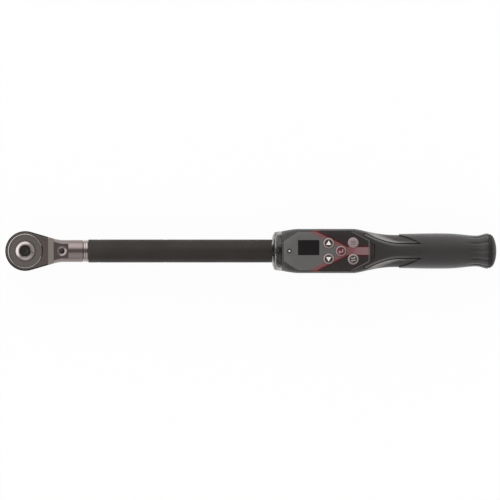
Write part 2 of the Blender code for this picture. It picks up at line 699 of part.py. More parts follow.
def pawl():
    """Rocking pawl: one tip rests between two gear teeth, the other stands clear."""
    pivot = Vector((PAWL_PIVOT, 0.0))
    engaged = Vector(polar(GEAR_ROOT + 0.55 * TOOTH_DEPTH, PAWL_TIP_ANGLE))
    tip = Matrix.Rotation(-PAWL_SWING, 2) @ (engaged - pivot) + pivot
    angle = math.atan2(tip.y, tip.x)
    across = Vector((-math.sin(angle), math.cos(angle))) * 0.2 * MM
    back = PAWL_INNER + 0.5 * MM
    slim = math.radians(3.2)
    half = [polar(PAWL_INNER, math.radians(step)) for step in (0.0, 8.0)]
    half += arc(back, math.radians(16.0), angle - slim, 3)
    half += [tuple(tip - across), tuple(tip + across), polar(back, angle + slim)]
    half += arc(PAWL_OUTER, angle, 0.0, 8)
    outline = half + [(x, -y) for x, y in reversed(half[1:-1])]
    local = [(x - PAWL_PIVOT, y) for x, y in outline]
    body = plate("pawl", local, CAVITY_FLOOR + RUN_GAP, GEAR_TOP - SEAT_GAP, "tool_steel")
    hole = upright("pawl_hole", PAWL_PIN_RADIUS + SEAT_GAP, PAWL_PIVOT, 0.0, CAVITY_FLOOR, GEAR_TOP,
                   None, 16)
    body.location.x = PAWL_PIVOT
    body.rotation_euler.z = -PAWL_SWING
    top = GEAR_TOP - SEAT_GAP
    upright("pawl_pin", PAWL_PIN_RADIUS, PAWL_PIVOT, 0.0, PAWL_PIN_SEAT + SEAT_GAP, top, "tool_steel", 16)
    return cut(body, hole)


def cover_plate():
    """Annular plate over the ratchet, held down by the snap ring."""
    outer = COVER_SEAT - SEAT_GAP
    turned("cover_plate", [
        (DIAL_RADIUS + RUN_GAP, COVER_TOP),
        (outer - 0.4 * MM, COVER_TOP),
        (outer, COVER_TOP - 0.4 * MM),
        (outer, COVER_BOTTOM),
        (DIAL_RADIUS + RUN_GAP, COVER_BOTTOM),
    ], "satin_chrome", ring=True)
    inner = SNAP_GROOVE - RUN_GAP - SNAP_WIDTH
    start = SNAP_OPENING / 2
    outline = arc(SNAP_GROOVE - RUN_GAP, start, 2 * math.pi - start, 32)
    outline += arc(inner, 2 * math.pi - start, start, 32)
    plate("snap_ring", outline, SNAP_BOTTOM, SNAP_TOP, "bright_chrome")


def socket_neck():
    """Chrome neck with the socket, running on as the bending beam inside the barrel."""
    neck = turned("socket_neck", [
        (0.0, BEAM_X + MM),
        (SHANK_RADIUS, BEAM_X + MM),
        (SHANK_RADIUS, NECK_END),
        (NECK_RADIUS - 0.4 * MM, NECK_END),
        (NECK_RADIUS, NECK_END - 0.4 * MM),
        (NECK_RADIUS, NECK_X + NECK_FLARE),
        (mix(NECK_RADIUS, MOUTH_RADIUS, 0.35), NECK_X + NECK_FLARE * 0.5),
        (MOUTH_RADIUS, NECK_X + NECK_FLARE * 0.1),
        (MOUTH_RADIUS, NECK_X),
        (0.0, NECK_X),
    ], "bright_chrome", lengthwise=True)
    beam = box("beam", (BEAM_X, -BEAM_HALF_WIDTH, AXIS - BEAM_HALF_HEIGHT),
               (PLUG_X + MM, BEAM_HALF_WIDTH, AXIS + BEAM_HALF_HEIGHT))
    plug = along("beam_plug", SHANK_RADIUS, PLUG_X, PLUG_END)
    join(neck, beam, plug)
    for side in (-1, 1):
        near = AXIS + side * NECK_FLAT
        far = AXIS + side * 2 * MOUTH_RADIUS
        cut(neck, box("neck_flat", (NECK_X - MM, -MOUTH_RADIUS * 2, min(near, far)),
                      (NECK_X + NECK_FLAT_LENGTH, MOUTH_RADIUS * 2, max(near, far))))
    wide = SPIGOT_WIDTH / 2 + SEAT_GAP
    tall = SPIGOT_HEIGHT / 2 + SEAT_GAP
    socket = box("socket", (NECK_X - MM, -wide, AXIS - tall),
                 (HEAD_END + SPIGOT_LENGTH + RUN_GAP, wide, AXIS + tall))
    hole = LATCH_RADIUS + RUN_GAP
    dish = hole + LATCH_DISH * 0.8
    latch = turned("latch_dish", [
        (0.0, AXIS + NECK_FLAT + MM),
        (dish, AXIS + NECK_FLAT + MM),
        (dish, AXIS + NECK_FLAT),
        (hole, AXIS + NECK_FLAT - LATCH_DISH * 0.5),
        (hole, AXIS),
        (0.0, AXIS),
    ], centre=(LATCH_X, 0.0), steps=24)
    slot = box("lead_slot", (PLUG_X - MM, -LEAD_RADIUS - RUN_GAP, AXIS + BEAM_HALF_HEIGHT),
               (PLUG_END + MM, LEAD_RADIUS + RUN_GAP, AXIS + BARREL_RADIUS))
    cut(neck, socket, latch, slot)
    for x in BARREL_PINS[:2]:
        cut(neck, crosswise("neck_pin_hole", PIN_RADIUS + SEAT_GAP, x, BARREL_RADIUS * 2))


def latch():
    """Sprung pin that locks the spigot in the socket."""
    turned("latch_pin", [
        (0.0, LATCH_TOP),
        (LATCH_RADIUS - 0.5 * MM, LATCH_TOP),
        (LATCH_RADIUS, LATCH_TOP - 0.5 * MM),
        (LATCH_RADIUS, LATCH_BOTTOM),
        (0.0, LATCH_BOTTOM),
    ], "satin_chrome", centre=(LATCH_X, 0.0), steps=24)
    low = LATCH_SEAT + SEAT_GAP
    matrix = Matrix.Translation((LATCH_X, 0.0, low))
    length = LATCH_BOTTOM - SEAT_GAP - low
    coil("latch_spring", LATCH_RADIUS - 1.5 * LATCH_WIRE, LATCH_WIRE, length, 2.5, matrix, "tool_steel")


def collar_ring():
    """Slim chrome ring between the neck and the barrel."""
    end = COLLAR_X + COLLAR_LENGTH
    turned("collar_ring", [
        (SHANK_RADIUS + SEAT_GAP, end),
        (NECK_RADIUS - 0.3 * MM, end),
        (NECK_RADIUS, end - 0.3 * MM),
        (NECK_RADIUS, COLLAR_X + 0.5 * MM),
        (NECK_RADIUS - 0.5 * MM, COLLAR_X),
        (SHANK_RADIUS + SEAT_GAP, COLLAR_X),
    ], "bright_chrome", ring=True, lengthwise=True)


def strain_gauges():
    """Four foil gauges on the beam's flanks."""
    length, depth, height = GAUGE_SIZE
    number = 0
    for share in (0.25, 0.75):
        for side in (-1, 1):
            number += 1
            x = BEAM_X + BEAM_LENGTH * share
            near = side * (BEAM_HALF_WIDTH + SEAT_GAP)
            far = near + side * depth
            box(f"strain_gauge_{number}", (x - length / 2, min(near, far), AXIS - height / 2),
                (x + length / 2, max(near, far), AXIS + height / 2), "gauge_foil")


def leads():
    """Gauge lead along the barrel's roof and battery lead along its axis, both ending at the board."""
    z = AXIS + BEAM_HALF_HEIGHT + RUN_GAP + LEAD_RADIUS
    middle = (LEAD_EXIT - LEAD_BEND, z + LEAD_BEND)
    path = [(BEAM_X + BEAM_LENGTH * 0.5, 0.0, z)]
    for x, height in arc(LEAD_BEND, -math.pi / 2, 0.0, 6):
        path.append((middle[0] + x, 0.0, middle[1] + height))
    path.append((LEAD_EXIT, 0.0, BOARD_BOTTOM - SEAT_GAP))
    tube("gauge_lead", path, LEAD_RADIUS, "component_black")
    path = [(JOINT_END - SEAT_GAP, 0.0, AXIS)]
    for x, height in arc(POWER_LEAD_BEND, -math.pi / 2, -math.pi, 6):
        path.append((POWER_EXIT + POWER_LEAD_BEND + x, 0.0, AXIS + POWER_LEAD_BEND + height))
    path.append((POWER_EXIT, 0.0, BOARD_BOTTOM - SEAT_GAP))
    tube("power_lead", path, POWER_LEAD_RADIUS, "component_black")


def barrel():
    """Long black tube from the collar to the handle joint."""
    tube_body = turned("barrel", [
        (BARREL_BORE, BARREL_END),
        (BARREL_RADIUS, BARREL_END),
        (BARREL_RADIUS, BARREL_X + 0.4 * MM),
        (BARREL_RADIUS - 0.4 * MM, BARREL_X),
        (BARREL_BORE, BARREL_X),
    ], "black_barrel", ring=True, lengthwise=True)
    for x, drop in zip(BARREL_PINS, PIN_DROPS):
        cut(tube_body, crosswise("barrel_pin_hole", PIN_RADIUS + SEAT_GAP, x, BARREL_RADIUS * 2, None, drop))
    lead = upright("lead_exit", LEAD_BEND, LEAD_EXIT - LEAD_RADIUS, 0.0, AXIS, BOARD_TOP, None, 20)
    power = upright("power_exit", POWER_LEAD_RADIUS * 2, POWER_EXIT, 0.0, AXIS, BOARD_TOP, None, 20)
    cut(tube_body, lead, power)
    for name, x, drop in zip(("front", "rear", "joint"), BARREL_PINS, PIN_DROPS):
        crosswise(f"barrel_pin_{name}", PIN_RADIUS, x, pin_half(BARREL_RADIUS, drop), "tool_steel", drop)


def light_ring():
    """Clear ring around the barrel, with its lamp board behind it."""
    end = LENS_X + LENS_LENGTH
    turned("light_ring", [
        (LENS_CAVITY, end),
        (FRONT_RADIUS, end),
        (FRONT_RADIUS - 0.2 * MM, LENS_X + LENS_LENGTH * 0.6),
        (FRONT_RADIUS - 0.7 * MM, LENS_X + LENS_LENGTH * 0.27),
        (FRONT_RADIUS - 1.6 * MM, LENS_X + LENS_LENGTH * 0.16),
        (LENS_BORE + LENS_NOSE, LENS_X),
        (LENS_BORE, LENS_X),
        (LENS_BORE, LENS_X + LENS_FACE),
        (LENS_CAVITY, LENS_X + LENS_FACE),
    ], "clear_lens", ring=True, lengthwise=True)
    back = BOSS_FRONT - SEAT_GAP
    turned("led_board", [
        (LENS_BORE, back),
        (LED_RING, back),
        (LED_RING, back - LED_BOARD_THICKNESS),
        (LENS_BORE, back - LED_BOARD_THICKNESS),
    ], "board_green", ring=True, lengthwise=True)


def housing_rows(inset):
    """Section rows of the housing, pulled in by an inset."""
    rows = []
    for run, share in FRONT_STEPS:
        half = mix(FRONT_RADIUS, HOUSING_HALF_WIDTH, share)
        up = mix(FRONT_RADIUS, HOUSING_UP, share)
        down = mix(FRONT_RADIUS, HOUSING_DOWN, share)
        rows.append((HOUSING_X + run * FLARE_LENGTH, half, up, down, mix(2.0, BODY_POWER, share)))
    for run, share in TAIL_STEPS:
        half = mix(HOUSING_HALF_WIDTH, WRIST_RADIUS, share)
        up = mix(HOUSING_UP, WRIST_RADIUS, share)
        down = mix(HOUSING_DOWN, WRIST_RADIUS, share)
        rows.append((TAIL_X + run * TAIL_LENGTH, half, up, down, mix(BODY_POWER, 2.0, share)))
    rows.append((WING_END + MM, WRIST_RADIUS, WRIST_RADIUS, WRIST_RADIUS, 2.0))
    return [(x, half - inset, up - inset, down - inset, power) for x, half, up, down, power in rows]


def clipped_rows(rows, start, end):
    """Rows between two stations, with fresh rows made at both ends."""
    made = []
    for first, second in zip(rows, rows[1:]):
        for x in (start, end):
            if first[0] < x <= second[0]:
                share = (x - first[0]) / (second[0] - first[0])
                made.append(tuple(mix(a, b, share) for a, b in zip(first, second)))
    return sorted(made + [row for row in rows if start < row[0] < end])


def panel_outline(grow):
    """Eight-sided panel outline, grown outward."""
    slant = grow * 0.45
    return mirrored([
        (PANEL_X - grow, PANEL_FRONT_HALF + slant),
        (BODY_X - slant, PANEL_HALF_WIDTH + grow),
        (TAIL_X - 0.5 * MM + slant, PANEL_HALF_WIDTH + grow),
        (PANEL_END + grow, PANEL_REAR_HALF + slant),
    ])


def grip_region(name, grow):
    """Plan region of the grip: a forward tongue on top and V-shaped rear edges of the housing's wings."""
    tongue = mirrored([
        (TONGUE_X - grow, TONGUE_FRONT_HALF + grow),
        (TONGUE_X + 5.4 * MM, mix(TONGUE_FRONT_HALF, TONGUE_HALF, 0.33) + grow),
        (TONGUE_X + 12.4 * MM, mix(TONGUE_FRONT_HALF, TONGUE_HALF, 0.8) + grow),
        (GRIP_X + 4.0 * MM, TONGUE_HALF + grow),
        (WING_END + 2 * MM, TONGUE_HALF + grow),
    ])
    reach = 2 * GRIP_BELLY
    side = WRIST_RADIUS + GRIP_STEP
    wings = mirrored([
        (WING_END - grow, TONGUE_HALF - MM),
        (GRIP_X + 0.72 * WING_LENGTH - grow, mix(TONGUE_HALF, side, 0.3)),
        (GRIP_X + 0.38 * WING_LENGTH - grow, mix(TONGUE_HALF, side, 0.64)),
        (GRIP_X + 0.1 * WING_LENGTH - grow, mix(TONGUE_HALF, side, 0.95)),
        (GRIP_X - grow, mix(TONGUE_HALF, side, 1.18)),
        (GRIP_X - grow, reach),
        (CAP_X + CAP_LENGTH, reach),
    ])
    region = plate(name, wings, AXIS - reach, AXIS + reach)
    return join(region, plate(name + "_tongue", tongue, AXIS + TONGUE_FLOOR - grow, AXIS + reach))


def bosses(name):
    """Screw pillars left standing in the housing's room."""
    low = AXIS - HOUSING_DOWN
    places = [(x, side * SCREW_Y) for x in SCREW_STATIONS for side in (-1, 1)]
    return [upright(name, BOSS_RADIUS, x, y, low, PANEL_TOP, None, 24) for x, y in places]


def housing_hollows(name, ribs):
    """Room inside one housing half, parted by ribs."""
    stops = [HOUSING_X + HOUSING_WALL]
    for x in ribs:
        stops += [x - RIB_THICKNESS / 2, x + RIB_THICKNESS / 2]
    stops.append(HANDLE_X - RUN_GAP)
    inner = housing_rows(HOUSING_WALL)
    return [loft(name, clipped_rows(inner, start, end)) for start, end in zip(stops[::2], stops[1::2])]


def housing_half(name, hollows):
    """Outer skin of one housing half, cut by its room and by what both halves share."""
    shell = loft(name, housing_rows(0.0), "black_housing")
    plateau = plate(name + "_plateau", panel_outline(PANEL_LIP), SPLIT, PANEL_TOP)
    bevel(plateau, 0.6 * MM, 2, 60.0)
    join(shell, plateau, along(name + "_spigot", LED_RING, BOSS_FRONT, HOUSING_X + MM))
    pillars = bosses(name + "_boss")
    for hollow in hollows:
        cut(shell, cut(hollow, *pillars))
    cut(shell, along(name + "_bore", BARREL_RADIUS + RUN_GAP, LENS_X, HANDLE_X))
    cut(shell, along(name + "_tail_bore", TAIL_BORE, HANDLE_X - RUN_GAP - 0.2 * MM, GRIP_END))
    return cut(shell, grip_region(name + "_grip_region", GROOVE_WIDTH))


def upper_housing():
    """Display side of the housing, with the panel recess, key holes and board posts."""
    hollows = housing_hollows("upper_room", ())
    join(hollows[0], plate("panel_room", panel_outline(-HOUSING_WALL), AXIS, CEILING))
    for x, y in POSTS:
        cut(hollows[0], upright("board_post", POST_RADIUS, x, y, BOARD_TOP + SEAT_GAP, PANEL_TOP, None, 20))
    shell = housing_half("upper_housing", hollows)
    cut(shell, plate("panel_recess", panel_outline(SEAT_GAP), PANEL_FLOOR, PANEL_TOP + MM))
    half = SCREEN_LENGTH / 2 - SCREEN_LEDGE
    tall = SCREEN_HEIGHT / 2 - SCREEN_LEDGE
    cut(shell, box("screen_hole", (SCREEN_X - half, SCREEN_OFFSET - tall, BOARD_TOP),
                   (SCREEN_X + half, SCREEN_OFFSET + tall, PANEL_TOP + MM)))
    for x, y in KEYS.values():
        cut(shell, upright("key_hole", KEY_RADIUS + RUN_GAP, x, y, BOARD_TOP, PANEL_TOP + MM))
    high = PANEL_TOP + MM
    cut(shell, upright("status_hole", STATUS_RADIUS + RUN_GAP, STATUS_X, 0.0, BOARD_TOP, high, None, 20))
    for x, y in POSTS:
        cut(shell, upright("post_hole", BOARD_SCREW_RADIUS + RUN_GAP, x, y, BOARD_BOTTOM, CEILING, None, 16))
    for x in SCREW_STATIONS:
        for side in (-1, 1):
            cut(shell, upright("boss_hole", SCREW_RADIUS + RUN_GAP, x, side * SCREW_Y, AXIS,
                               SPLIT + SCREW_BITE + RUN_GAP, None, 20))
    reach = GRIP_LENGTH
    return keep(shell, box("upper_side", (LENS_X, -reach, SPLIT + SEAT_GAP), (CAP_X, reach, AXIS + reach)))


def lower_housing():
    """Underside of the housing, with ribs that carry the barrel and sunk screws."""
    shell = housing_half("lower_housing", housing_hollows("lower_room", RIB_STATIONS))
    for x in SCREW_STATIONS:
        for side in (-1, 1):
            y = side * SCREW_Y
            low = AXIS - HOUSING_DOWN - MM
            cut(shell, upright("screw_sink", SCREW_HEAD_RADIUS + RUN_GAP, x, y, low, SCREW_SEAT))
            cut(shell, upright("screw_hole", SCREW_RADIUS + RUN_GAP, x, y, low, PANEL_TOP, None, 20))
    reach = GRIP_LENGTH
    floor = AXIS - HOUSING_DOWN + BASE_FLAT
    return keep(shell, box("lower_side", (LENS_X, -reach, floor), (CAP_X, reach, SPLIT - SEAT_GAP)))


def screws():
    """Four housing screws from below and two board screws under the board."""
    number = 0
    for x in SCREW_STATIONS:
        for side in (-1, 1):
            number += 1
            seat = SCREW_SEAT - SEAT_GAP
            turned(f"housing_screw_{number}", [
                (0.0, SPLIT + SCREW_BITE),
                (SCREW_RADIUS, SPLIT + SCREW_BITE),
                (SCREW_RADIUS, seat),
                (SCREW_HEAD_RADIUS, seat),
                (SCREW_HEAD_RADIUS, seat - SCREW_HEAD_HEIGHT),
                (0.0, seat - SCREW_HEAD_HEIGHT),
            ], "tool_steel", centre=(x, side * SCREW_Y), steps=20)
    for number, (x, y) in enumerate(POSTS, 1):
        seat = BOARD_BOTTOM - SEAT_GAP
        turned(f"board_screw_{number}", [
            (0.0, CEILING - RUN_GAP),
            (BOARD_SCREW_RADIUS, CEILING - RUN_GAP),
            (BOARD_SCREW_RADIUS, seat),
            (BOARD_SCREW_RADIUS * 2, seat),
            (BOARD_SCREW_RADIUS * 2, seat - BOARD_SCREW_RADIUS),
            (0.0, seat - BOARD_SCREW_RADIUS),
        ], "tool_steel", centre=(x, y), steps=20)


def panel():
    """Printed overlay, screen window, display module, status light and buzzer."""
    overlay = plate("keypad_overlay", panel_outline(0.0), OVERLAY_BOTTOM, PANEL_TOP, "printed_panel")
    half = SCREEN_LENGTH / 2
    tall = SCREEN_HEIGHT / 2
    opening = box("window_hole", (SCREEN_X - half - SEAT_GAP, SCREEN_OFFSET - tall - SEAT_GAP, PANEL_FLOOR),
                  (SCREEN_X + half + SEAT_GAP, SCREEN_OFFSET + tall + SEAT_GAP, PANEL_TOP + MM))
    high = PANEL_TOP + MM
    status = upright("overlay_status", STATUS_RADIUS + SEAT_GAP, STATUS_X, 0.0, PANEL_FLOOR, high, None, 20)
    cut(overlay, opening, status)
    for x, y in KEYS.values():
        cut(overlay, upright("overlay_key", KEY_RADIUS + RUN_GAP, x, y, PANEL_FLOOR, PANEL_TOP + MM))
    box("display_window", (SCREEN_X - half, SCREEN_OFFSET - tall, OVERLAY_BOTTOM),
        (SCREEN_X + half, SCREEN_OFFSET + tall, PANEL_TOP - SEAT_GAP), "screen_glass")
    frame = 0.8 * MM
    box("display_module", (SCREEN_X - half - frame, SCREEN_OFFSET - tall - frame, BOARD_TOP + SEAT_GAP),
        (SCREEN_X + half + frame, SCREEN_OFFSET + tall + frame, CEILING - SEAT_GAP), "component_black")
    upright("status_led", STATUS_RADIUS, STATUS_X, 0.0, BOARD_TOP + SEAT_GAP, PANEL_TOP, "clear_lens", 20)
    low = BOARD_TOP + SEAT_GAP
    upright("buzzer", BUZZER_RADIUS, BUZZER_X, 0.0, low, low + BUZZER_HEIGHT, "component_black")


def main_board():
    """Circuit board hung from the upper housing's posts."""
    outline = mirrored([
        (BOARD_X, BOARD_HALF_WIDTH - MM),
        (BOARD_X + 8 * MM, BOARD_HALF_WIDTH),
        (BOARD_END - 7 * MM, BOARD_HALF_WIDTH),
        (BOARD_END, BOARD_HALF_WIDTH - 2 * MM),
    ])
    board = plate("main_board", outline, BOARD_BOTTOM, BOARD_TOP, "board_green")
    for x, y in POSTS:
        cut(board, upright("board_hole", BOARD_SCREW_RADIUS + RUN_GAP, x, y, AXIS, PANEL_TOP, None, 16))


def keys():
    """Five domed keys, each over its own switch."""
    for label, (x, y) in KEYS.items():
        top = PANEL_TOP + KEY_RISE
        turned(f"key_{label}", [
            (0.0, top),
            (KEY_RADIUS * 0.7, top - 0.08 * MM),
            (KEY_RADIUS - 0.3 * MM, top - 0.22 * MM),
            (KEY_RADIUS, top - 0.5 * MM),
            (KEY_RADIUS, KEY_BOTTOM + KEY_FLANGE),
            (KEY_RADIUS + KEY_FLANGE_WIDTH, KEY_BOTTOM + KEY_FLANGE),
            (KEY_RADIUS + KEY_FLANGE_WIDTH, KEY_BOTTOM),
            (0.0, KEY_BOTTOM),
        ], "key_grey", centre=(x, y), steps=24)
        low = BOARD_TOP + SEAT_GAP
        half = SWITCH_SIZE / 2
        corner = (x + half, y + half, SWITCH_TOP - 0.4 * MM)
        switch = box(f"switch_{label}", (x - half, y - half, low), corner, "component_black")
        join(switch, upright("plunger", 1.6 * MM, x, y, low + 0.4 * MM, SWITCH_TOP, None, 16))


def handle():
    """Joint plug, handle tube, battery, contact and pin."""
    joint = turned("handle_joint", [
        (JOINT_BORE, JOINT_END),
        (HANDLE_BORE - RUN_GAP, JOINT_END),
        (HANDLE_BORE - RUN_GAP, BARREL_END + RUN_GAP),
        (SHANK_RADIUS, BARREL_END + RUN_GAP),
        (SHANK_RADIUS, JOINT_X),
        (JOINT_BORE, JOINT_X),
    ], "tool_steel", ring=True, lengthwise=True)
    sleeve = turned("handle_tube", [
        (HANDLE_BORE, GRIP_END - RUN_GAP),
        (HANDLE_RADIUS, GRIP_END - RUN_GAP),
        (HANDLE_RADIUS, HANDLE_X),
        (HANDLE_BORE, HANDLE_X),
    ], "tool_steel", ring=True, lengthwise=True)
    hole = PIN_RADIUS + SEAT_GAP
    cut(joint, crosswise("joint_barrel_hole", hole, BARREL_PINS[2], BARREL_RADIUS * 2, None, PIN_DROP))
    for obj in (joint, sleeve):
        cut(obj, crosswise(obj.name + "_pin_hole", hole, HANDLE_PIN, HANDLE_RADIUS * 2, None, PIN_DROP))
    half = pin_half(HANDLE_RADIUS, PIN_DROP)
    crosswise("handle_pin", PIN_RADIUS, HANDLE_PIN, half, "tool_steel", PIN_DROP)
    back = CONTACT_X + CONTACT_THICKNESS
    along("battery_contact", BATTERY_RADIUS * 0.75, CONTACT_X, back, "tool_steel", 24)
    turned("battery", [
        (0.0, BATTERY_END),
        (BATTERY_RADIUS - 0.6 * MM, BATTERY_END),
        (BATTERY_RADIUS, BATTERY_END - 0.6 * MM),
        (BATTERY_RADIUS, BATTERY_X + 2.0 * MM),
        (BATTERY_RADIUS - 0.6 * MM, BATTERY_X + 1.4 * MM),
        (BATTERY_RADIUS * 0.32, BATTERY_X + 1.4 * MM),
        (BATTERY_RADIUS * 0.32, BATTERY_X),
        (0.0, BATTERY_X),
    ], "battery_wrap", lengthwise=True)
    start = BATTERY_END + SEAT_GAP
    turn = Matrix.Translation((start, 0.0, AXIS)) @ Matrix.Rotation(math.pi / 2, 4, "Y")
    coil("battery_spring", BATTERY_RADIUS * 0.5, BATTERY_SPRING_WIRE, PLUG_FRONT - SEAT_GAP - start, 3, turn,
         "tool_steel")


def grip():
    """Rubber sleeve with a forward tongue, a soft belly, a waist and a flared end."""
    tail = housing_rows(-GRIP_STEP)
    rows = clipped_rows(tail, TONGUE_X - MM, GRIP_X)
    start = WRIST_RADIUS + GRIP_STEP
    stations = [(0.1, mix(start, GRIP_BELLY, 0.55)), (0.41, GRIP_BELLY)]
    stations += [(run, mix(GRIP_WAIST, GRIP_BELLY, share)) for run, share in ((0.68, 0.6), (0.8, 0.18))]
    stations += [(run, mix(GRIP_WAIST, GRIP_FLARE, share)) for run, share in ((0.862, 0.0), (0.93, 0.45))]
    stations += [(0.983, GRIP_FLARE), (1.0, GRIP_FLARE - 0.3 * MM)]
    for run, radius in stations:
        rows.append((GRIP_X + run * GRIP_LENGTH, radius, radius, radius, 2.0))
    sleeve = loft("grip", rows, "grip_rubber")
    keep(sleeve, grip_region("grip_region", 0.0))
    return cut(sleeve, along("grip_bore", TAIL_BORE, HANDLE_X - MM, CAP_X + MM))


def end_cap():
    """Domed cap with a plug in the handle tube and a seal in the plug's groove."""
    plug = HANDLE_BORE - RUN_GAP
    groove = mix(PLUG_FRONT, CAP_X, 0.45)
    half = SEAL_RADIUS + SEAT_GAP
    floor = HANDLE_BORE - RUN_GAP - 2 * SEAL_RADIUS - SEAT_GAP
    dome = CAP_LENGTH - MM
    profile = [(0.0, CAP_X + CAP_LENGTH)]
    for step in range(1, 8):
        angle = math.pi / 2 * step / 7
        profile.append((CAP_RADIUS * math.sin(angle), CAP_X + MM + dome * math.cos(angle)))
    profile += [
        (CAP_RADIUS, CAP_X + 0.3 * MM),
        (CAP_RADIUS - 0.3 * MM, CAP_X),
        (plug, CAP_X),
        (plug, groove + half),
        (floor, groove + half),
        (floor, groove - half),
        (plug, groove - half),
        (plug, PLUG_FRONT),
        (0.0, PLUG_FRONT),
    ]
    turned("end_cap", profile, "black_housing", lengthwise=True)
    middle = floor + SEAT_GAP + SEAL_RADIUS
    ring = [(middle + SEAL_RADIUS * math.sin(a), groove + SEAL_RADIUS * math.cos(a))
            for a in (2 * math.pi * step / 8 for step in range(8))]
    turned("end_cap_seal", ring, "grip_rubber", ring=True, lengthwise=True, steps=24)


head_body()
drive_gear()
detent_ball()
release_button()
button_spring()
reversing_dial()
pawl()
cover_plate()
socket_neck()
latch()
collar_ring()
strain_gauges()
leads()
barrel()
light_ring()
upper_housing()
lower_housing()
screws()
panel()
main_board()
keys()
handle()
grip()
end_cap()
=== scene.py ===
"""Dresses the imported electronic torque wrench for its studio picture.

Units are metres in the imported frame: +X runs from the head to the grip, +Z is the display side.
"""
import math

import bmesh
import bpy
from mathutils import Matrix, Vector


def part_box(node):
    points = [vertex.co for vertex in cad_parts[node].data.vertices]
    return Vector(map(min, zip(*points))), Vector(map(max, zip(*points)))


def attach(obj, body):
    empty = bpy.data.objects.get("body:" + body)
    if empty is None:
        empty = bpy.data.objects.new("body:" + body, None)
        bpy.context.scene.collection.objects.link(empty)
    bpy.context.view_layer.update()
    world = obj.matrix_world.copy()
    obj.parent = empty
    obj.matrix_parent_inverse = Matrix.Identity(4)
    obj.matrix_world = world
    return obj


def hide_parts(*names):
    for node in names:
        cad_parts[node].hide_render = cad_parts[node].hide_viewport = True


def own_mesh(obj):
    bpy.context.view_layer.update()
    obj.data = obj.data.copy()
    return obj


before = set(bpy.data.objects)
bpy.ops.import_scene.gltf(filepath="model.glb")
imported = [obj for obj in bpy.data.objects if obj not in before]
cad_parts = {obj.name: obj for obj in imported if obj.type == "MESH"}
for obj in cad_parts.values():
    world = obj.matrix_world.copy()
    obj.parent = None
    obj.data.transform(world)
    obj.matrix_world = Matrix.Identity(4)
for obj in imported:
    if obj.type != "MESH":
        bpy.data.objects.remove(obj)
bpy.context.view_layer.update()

MM = 0.001


# Head body: a drop-forged steel ring with a tapering shoulder and a 9 by 12 spigot behind it.
# It is bored from above for the ratchet, chamfered round its rim and finished in dark satin chrome.

def span(node, axis):
    """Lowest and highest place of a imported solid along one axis."""
    low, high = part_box(node)
    return low[axis], high[axis]


def ink(colour):
    """Linear colour from screen values of 0 to 255. A colour that nodes work out passes through."""
    if isinstance(colour, bpy.types.NodeSocket):
        return colour
    shares = [value / 255 for value in colour]
    return [s / 12.92 if s < 0.04 else ((s + 0.055) / 1.055) ** 2.4 for s in shares] + [1.0]


def add(tree, kind, inputs=None, **settings):
    """Adds a shader node: an input given as a field or socket is linked, a plain value is set."""
    node = tree.nodes.new("ShaderNode" + kind)
    for name, value in settings.items():
        setattr(node, name, value)
    for name, value in (inputs or {}).items():
        value = getattr(value, "socket", value)
        if isinstance(value, bpy.types.NodeSocket):
            tree.links.new(value, node.inputs[name])
        else:
            node.inputs[name].default_value = value
    return node


def worked(operation):
    """Makes a field's method that takes one step of arithmetic, as a Math node."""
    def step(field, other=0.0):
        node = add(field.tree, "Math", {0: field, 1: other}, operation=operation)
        return Field(node.outputs[0])

    return step


class Field:
    """Value that changes over a surface, held by a shader socket. Sums on it are nodes in the same tree."""
    __add__ = worked("ADD")
    __sub__ = worked("SUBTRACT")
    __mul__ = worked("MULTIPLY")
    __truediv__ = worked("DIVIDE")
    __pow__ = worked("POWER")
    __abs__ = worked("ABSOLUTE")
    most = worked("MAXIMUM")
    least = worked("MINIMUM")

    def __init__(self, socket):
        self.socket = socket
        self.tree = socket.id_data

    def ramp(self, start, end, low=0.0, high=1.0):
        """Field carried from the range start to end into the range low to high, and held there."""
        inputs = {"Value": self, "From Min": start, "From Max": end, "To Min": low, "To Max": high}
        return Field(add(self.tree, "MapRange", inputs).outputs["Result"])

    def mix(self, first, second):
        """Colour that goes from the first to the second as the field goes from 0 to 1."""
        inputs = {0: self, 6: ink(first), 7: ink(second)}
        return add(self.tree, "Mix", inputs, data_type="RGBA").outputs[2]


class Coat:
    """Colours laid over a finish in layers, each where a mask worked out from x, y and z says."""

    def __init__(self, look):
        tree = look.node_tree
        self.base = tree.nodes["Principled BSDF"].inputs["Base Color"]
        place = add(tree, "SeparateXYZ", {0: add(tree, "TexCoord").outputs["Object"]}).outputs
        self.x, self.y, self.z = [Field(socket) for socket in place]

    def lay(self, mask, colour):
        """Lays a colour on where the mask is 1."""
        mask.tree.links.new(mask.mix(self.base.links[0].from_socket, colour), self.base)

    def away(self, x, y):
        """Distance in plan from one place."""
        along, across = self.x - x, self.y - y
        return (along * along + across * across) ** 0.5


def handled_group():
    """Node group with fine grain for relief and broad smudges for gloss and shade."""
    group = bpy.data.node_groups.new("handled_surface", "ShaderNodeTree")
    group.interface.new_socket("Vector", in_out="INPUT", socket_type="NodeSocketVector")
    for name in ("Grain Scale", "Smudge Scale"):
        group.interface.new_socket(name, in_out="INPUT", socket_type="NodeSocketFloat")
    for name in ("Grain", "Smudge"):
        group.interface.new_socket(name, in_out="OUTPUT", socket_type="NodeSocketFloat")
    entry = group.nodes.new("NodeGroupInput").outputs
    leave = group.nodes.new("NodeGroupOutput").inputs
    place = {"Vector": entry["Vector"]}
    grain = add(group, "TexNoise", {**place, "Scale": entry["Grain Scale"], "Detail": 2.0})
    smudge = add(group, "TexNoise", {**place, "Scale": entry["Smudge Scale"], "Detail": 5.0})
    group.links.new(grain.outputs[0], leave["Grain"])
    group.links.new(Field(smudge.outputs[0]).ramp(0.3, 0.7).socket, leave["Smudge"])
    return group


HANDLED = handled_group()


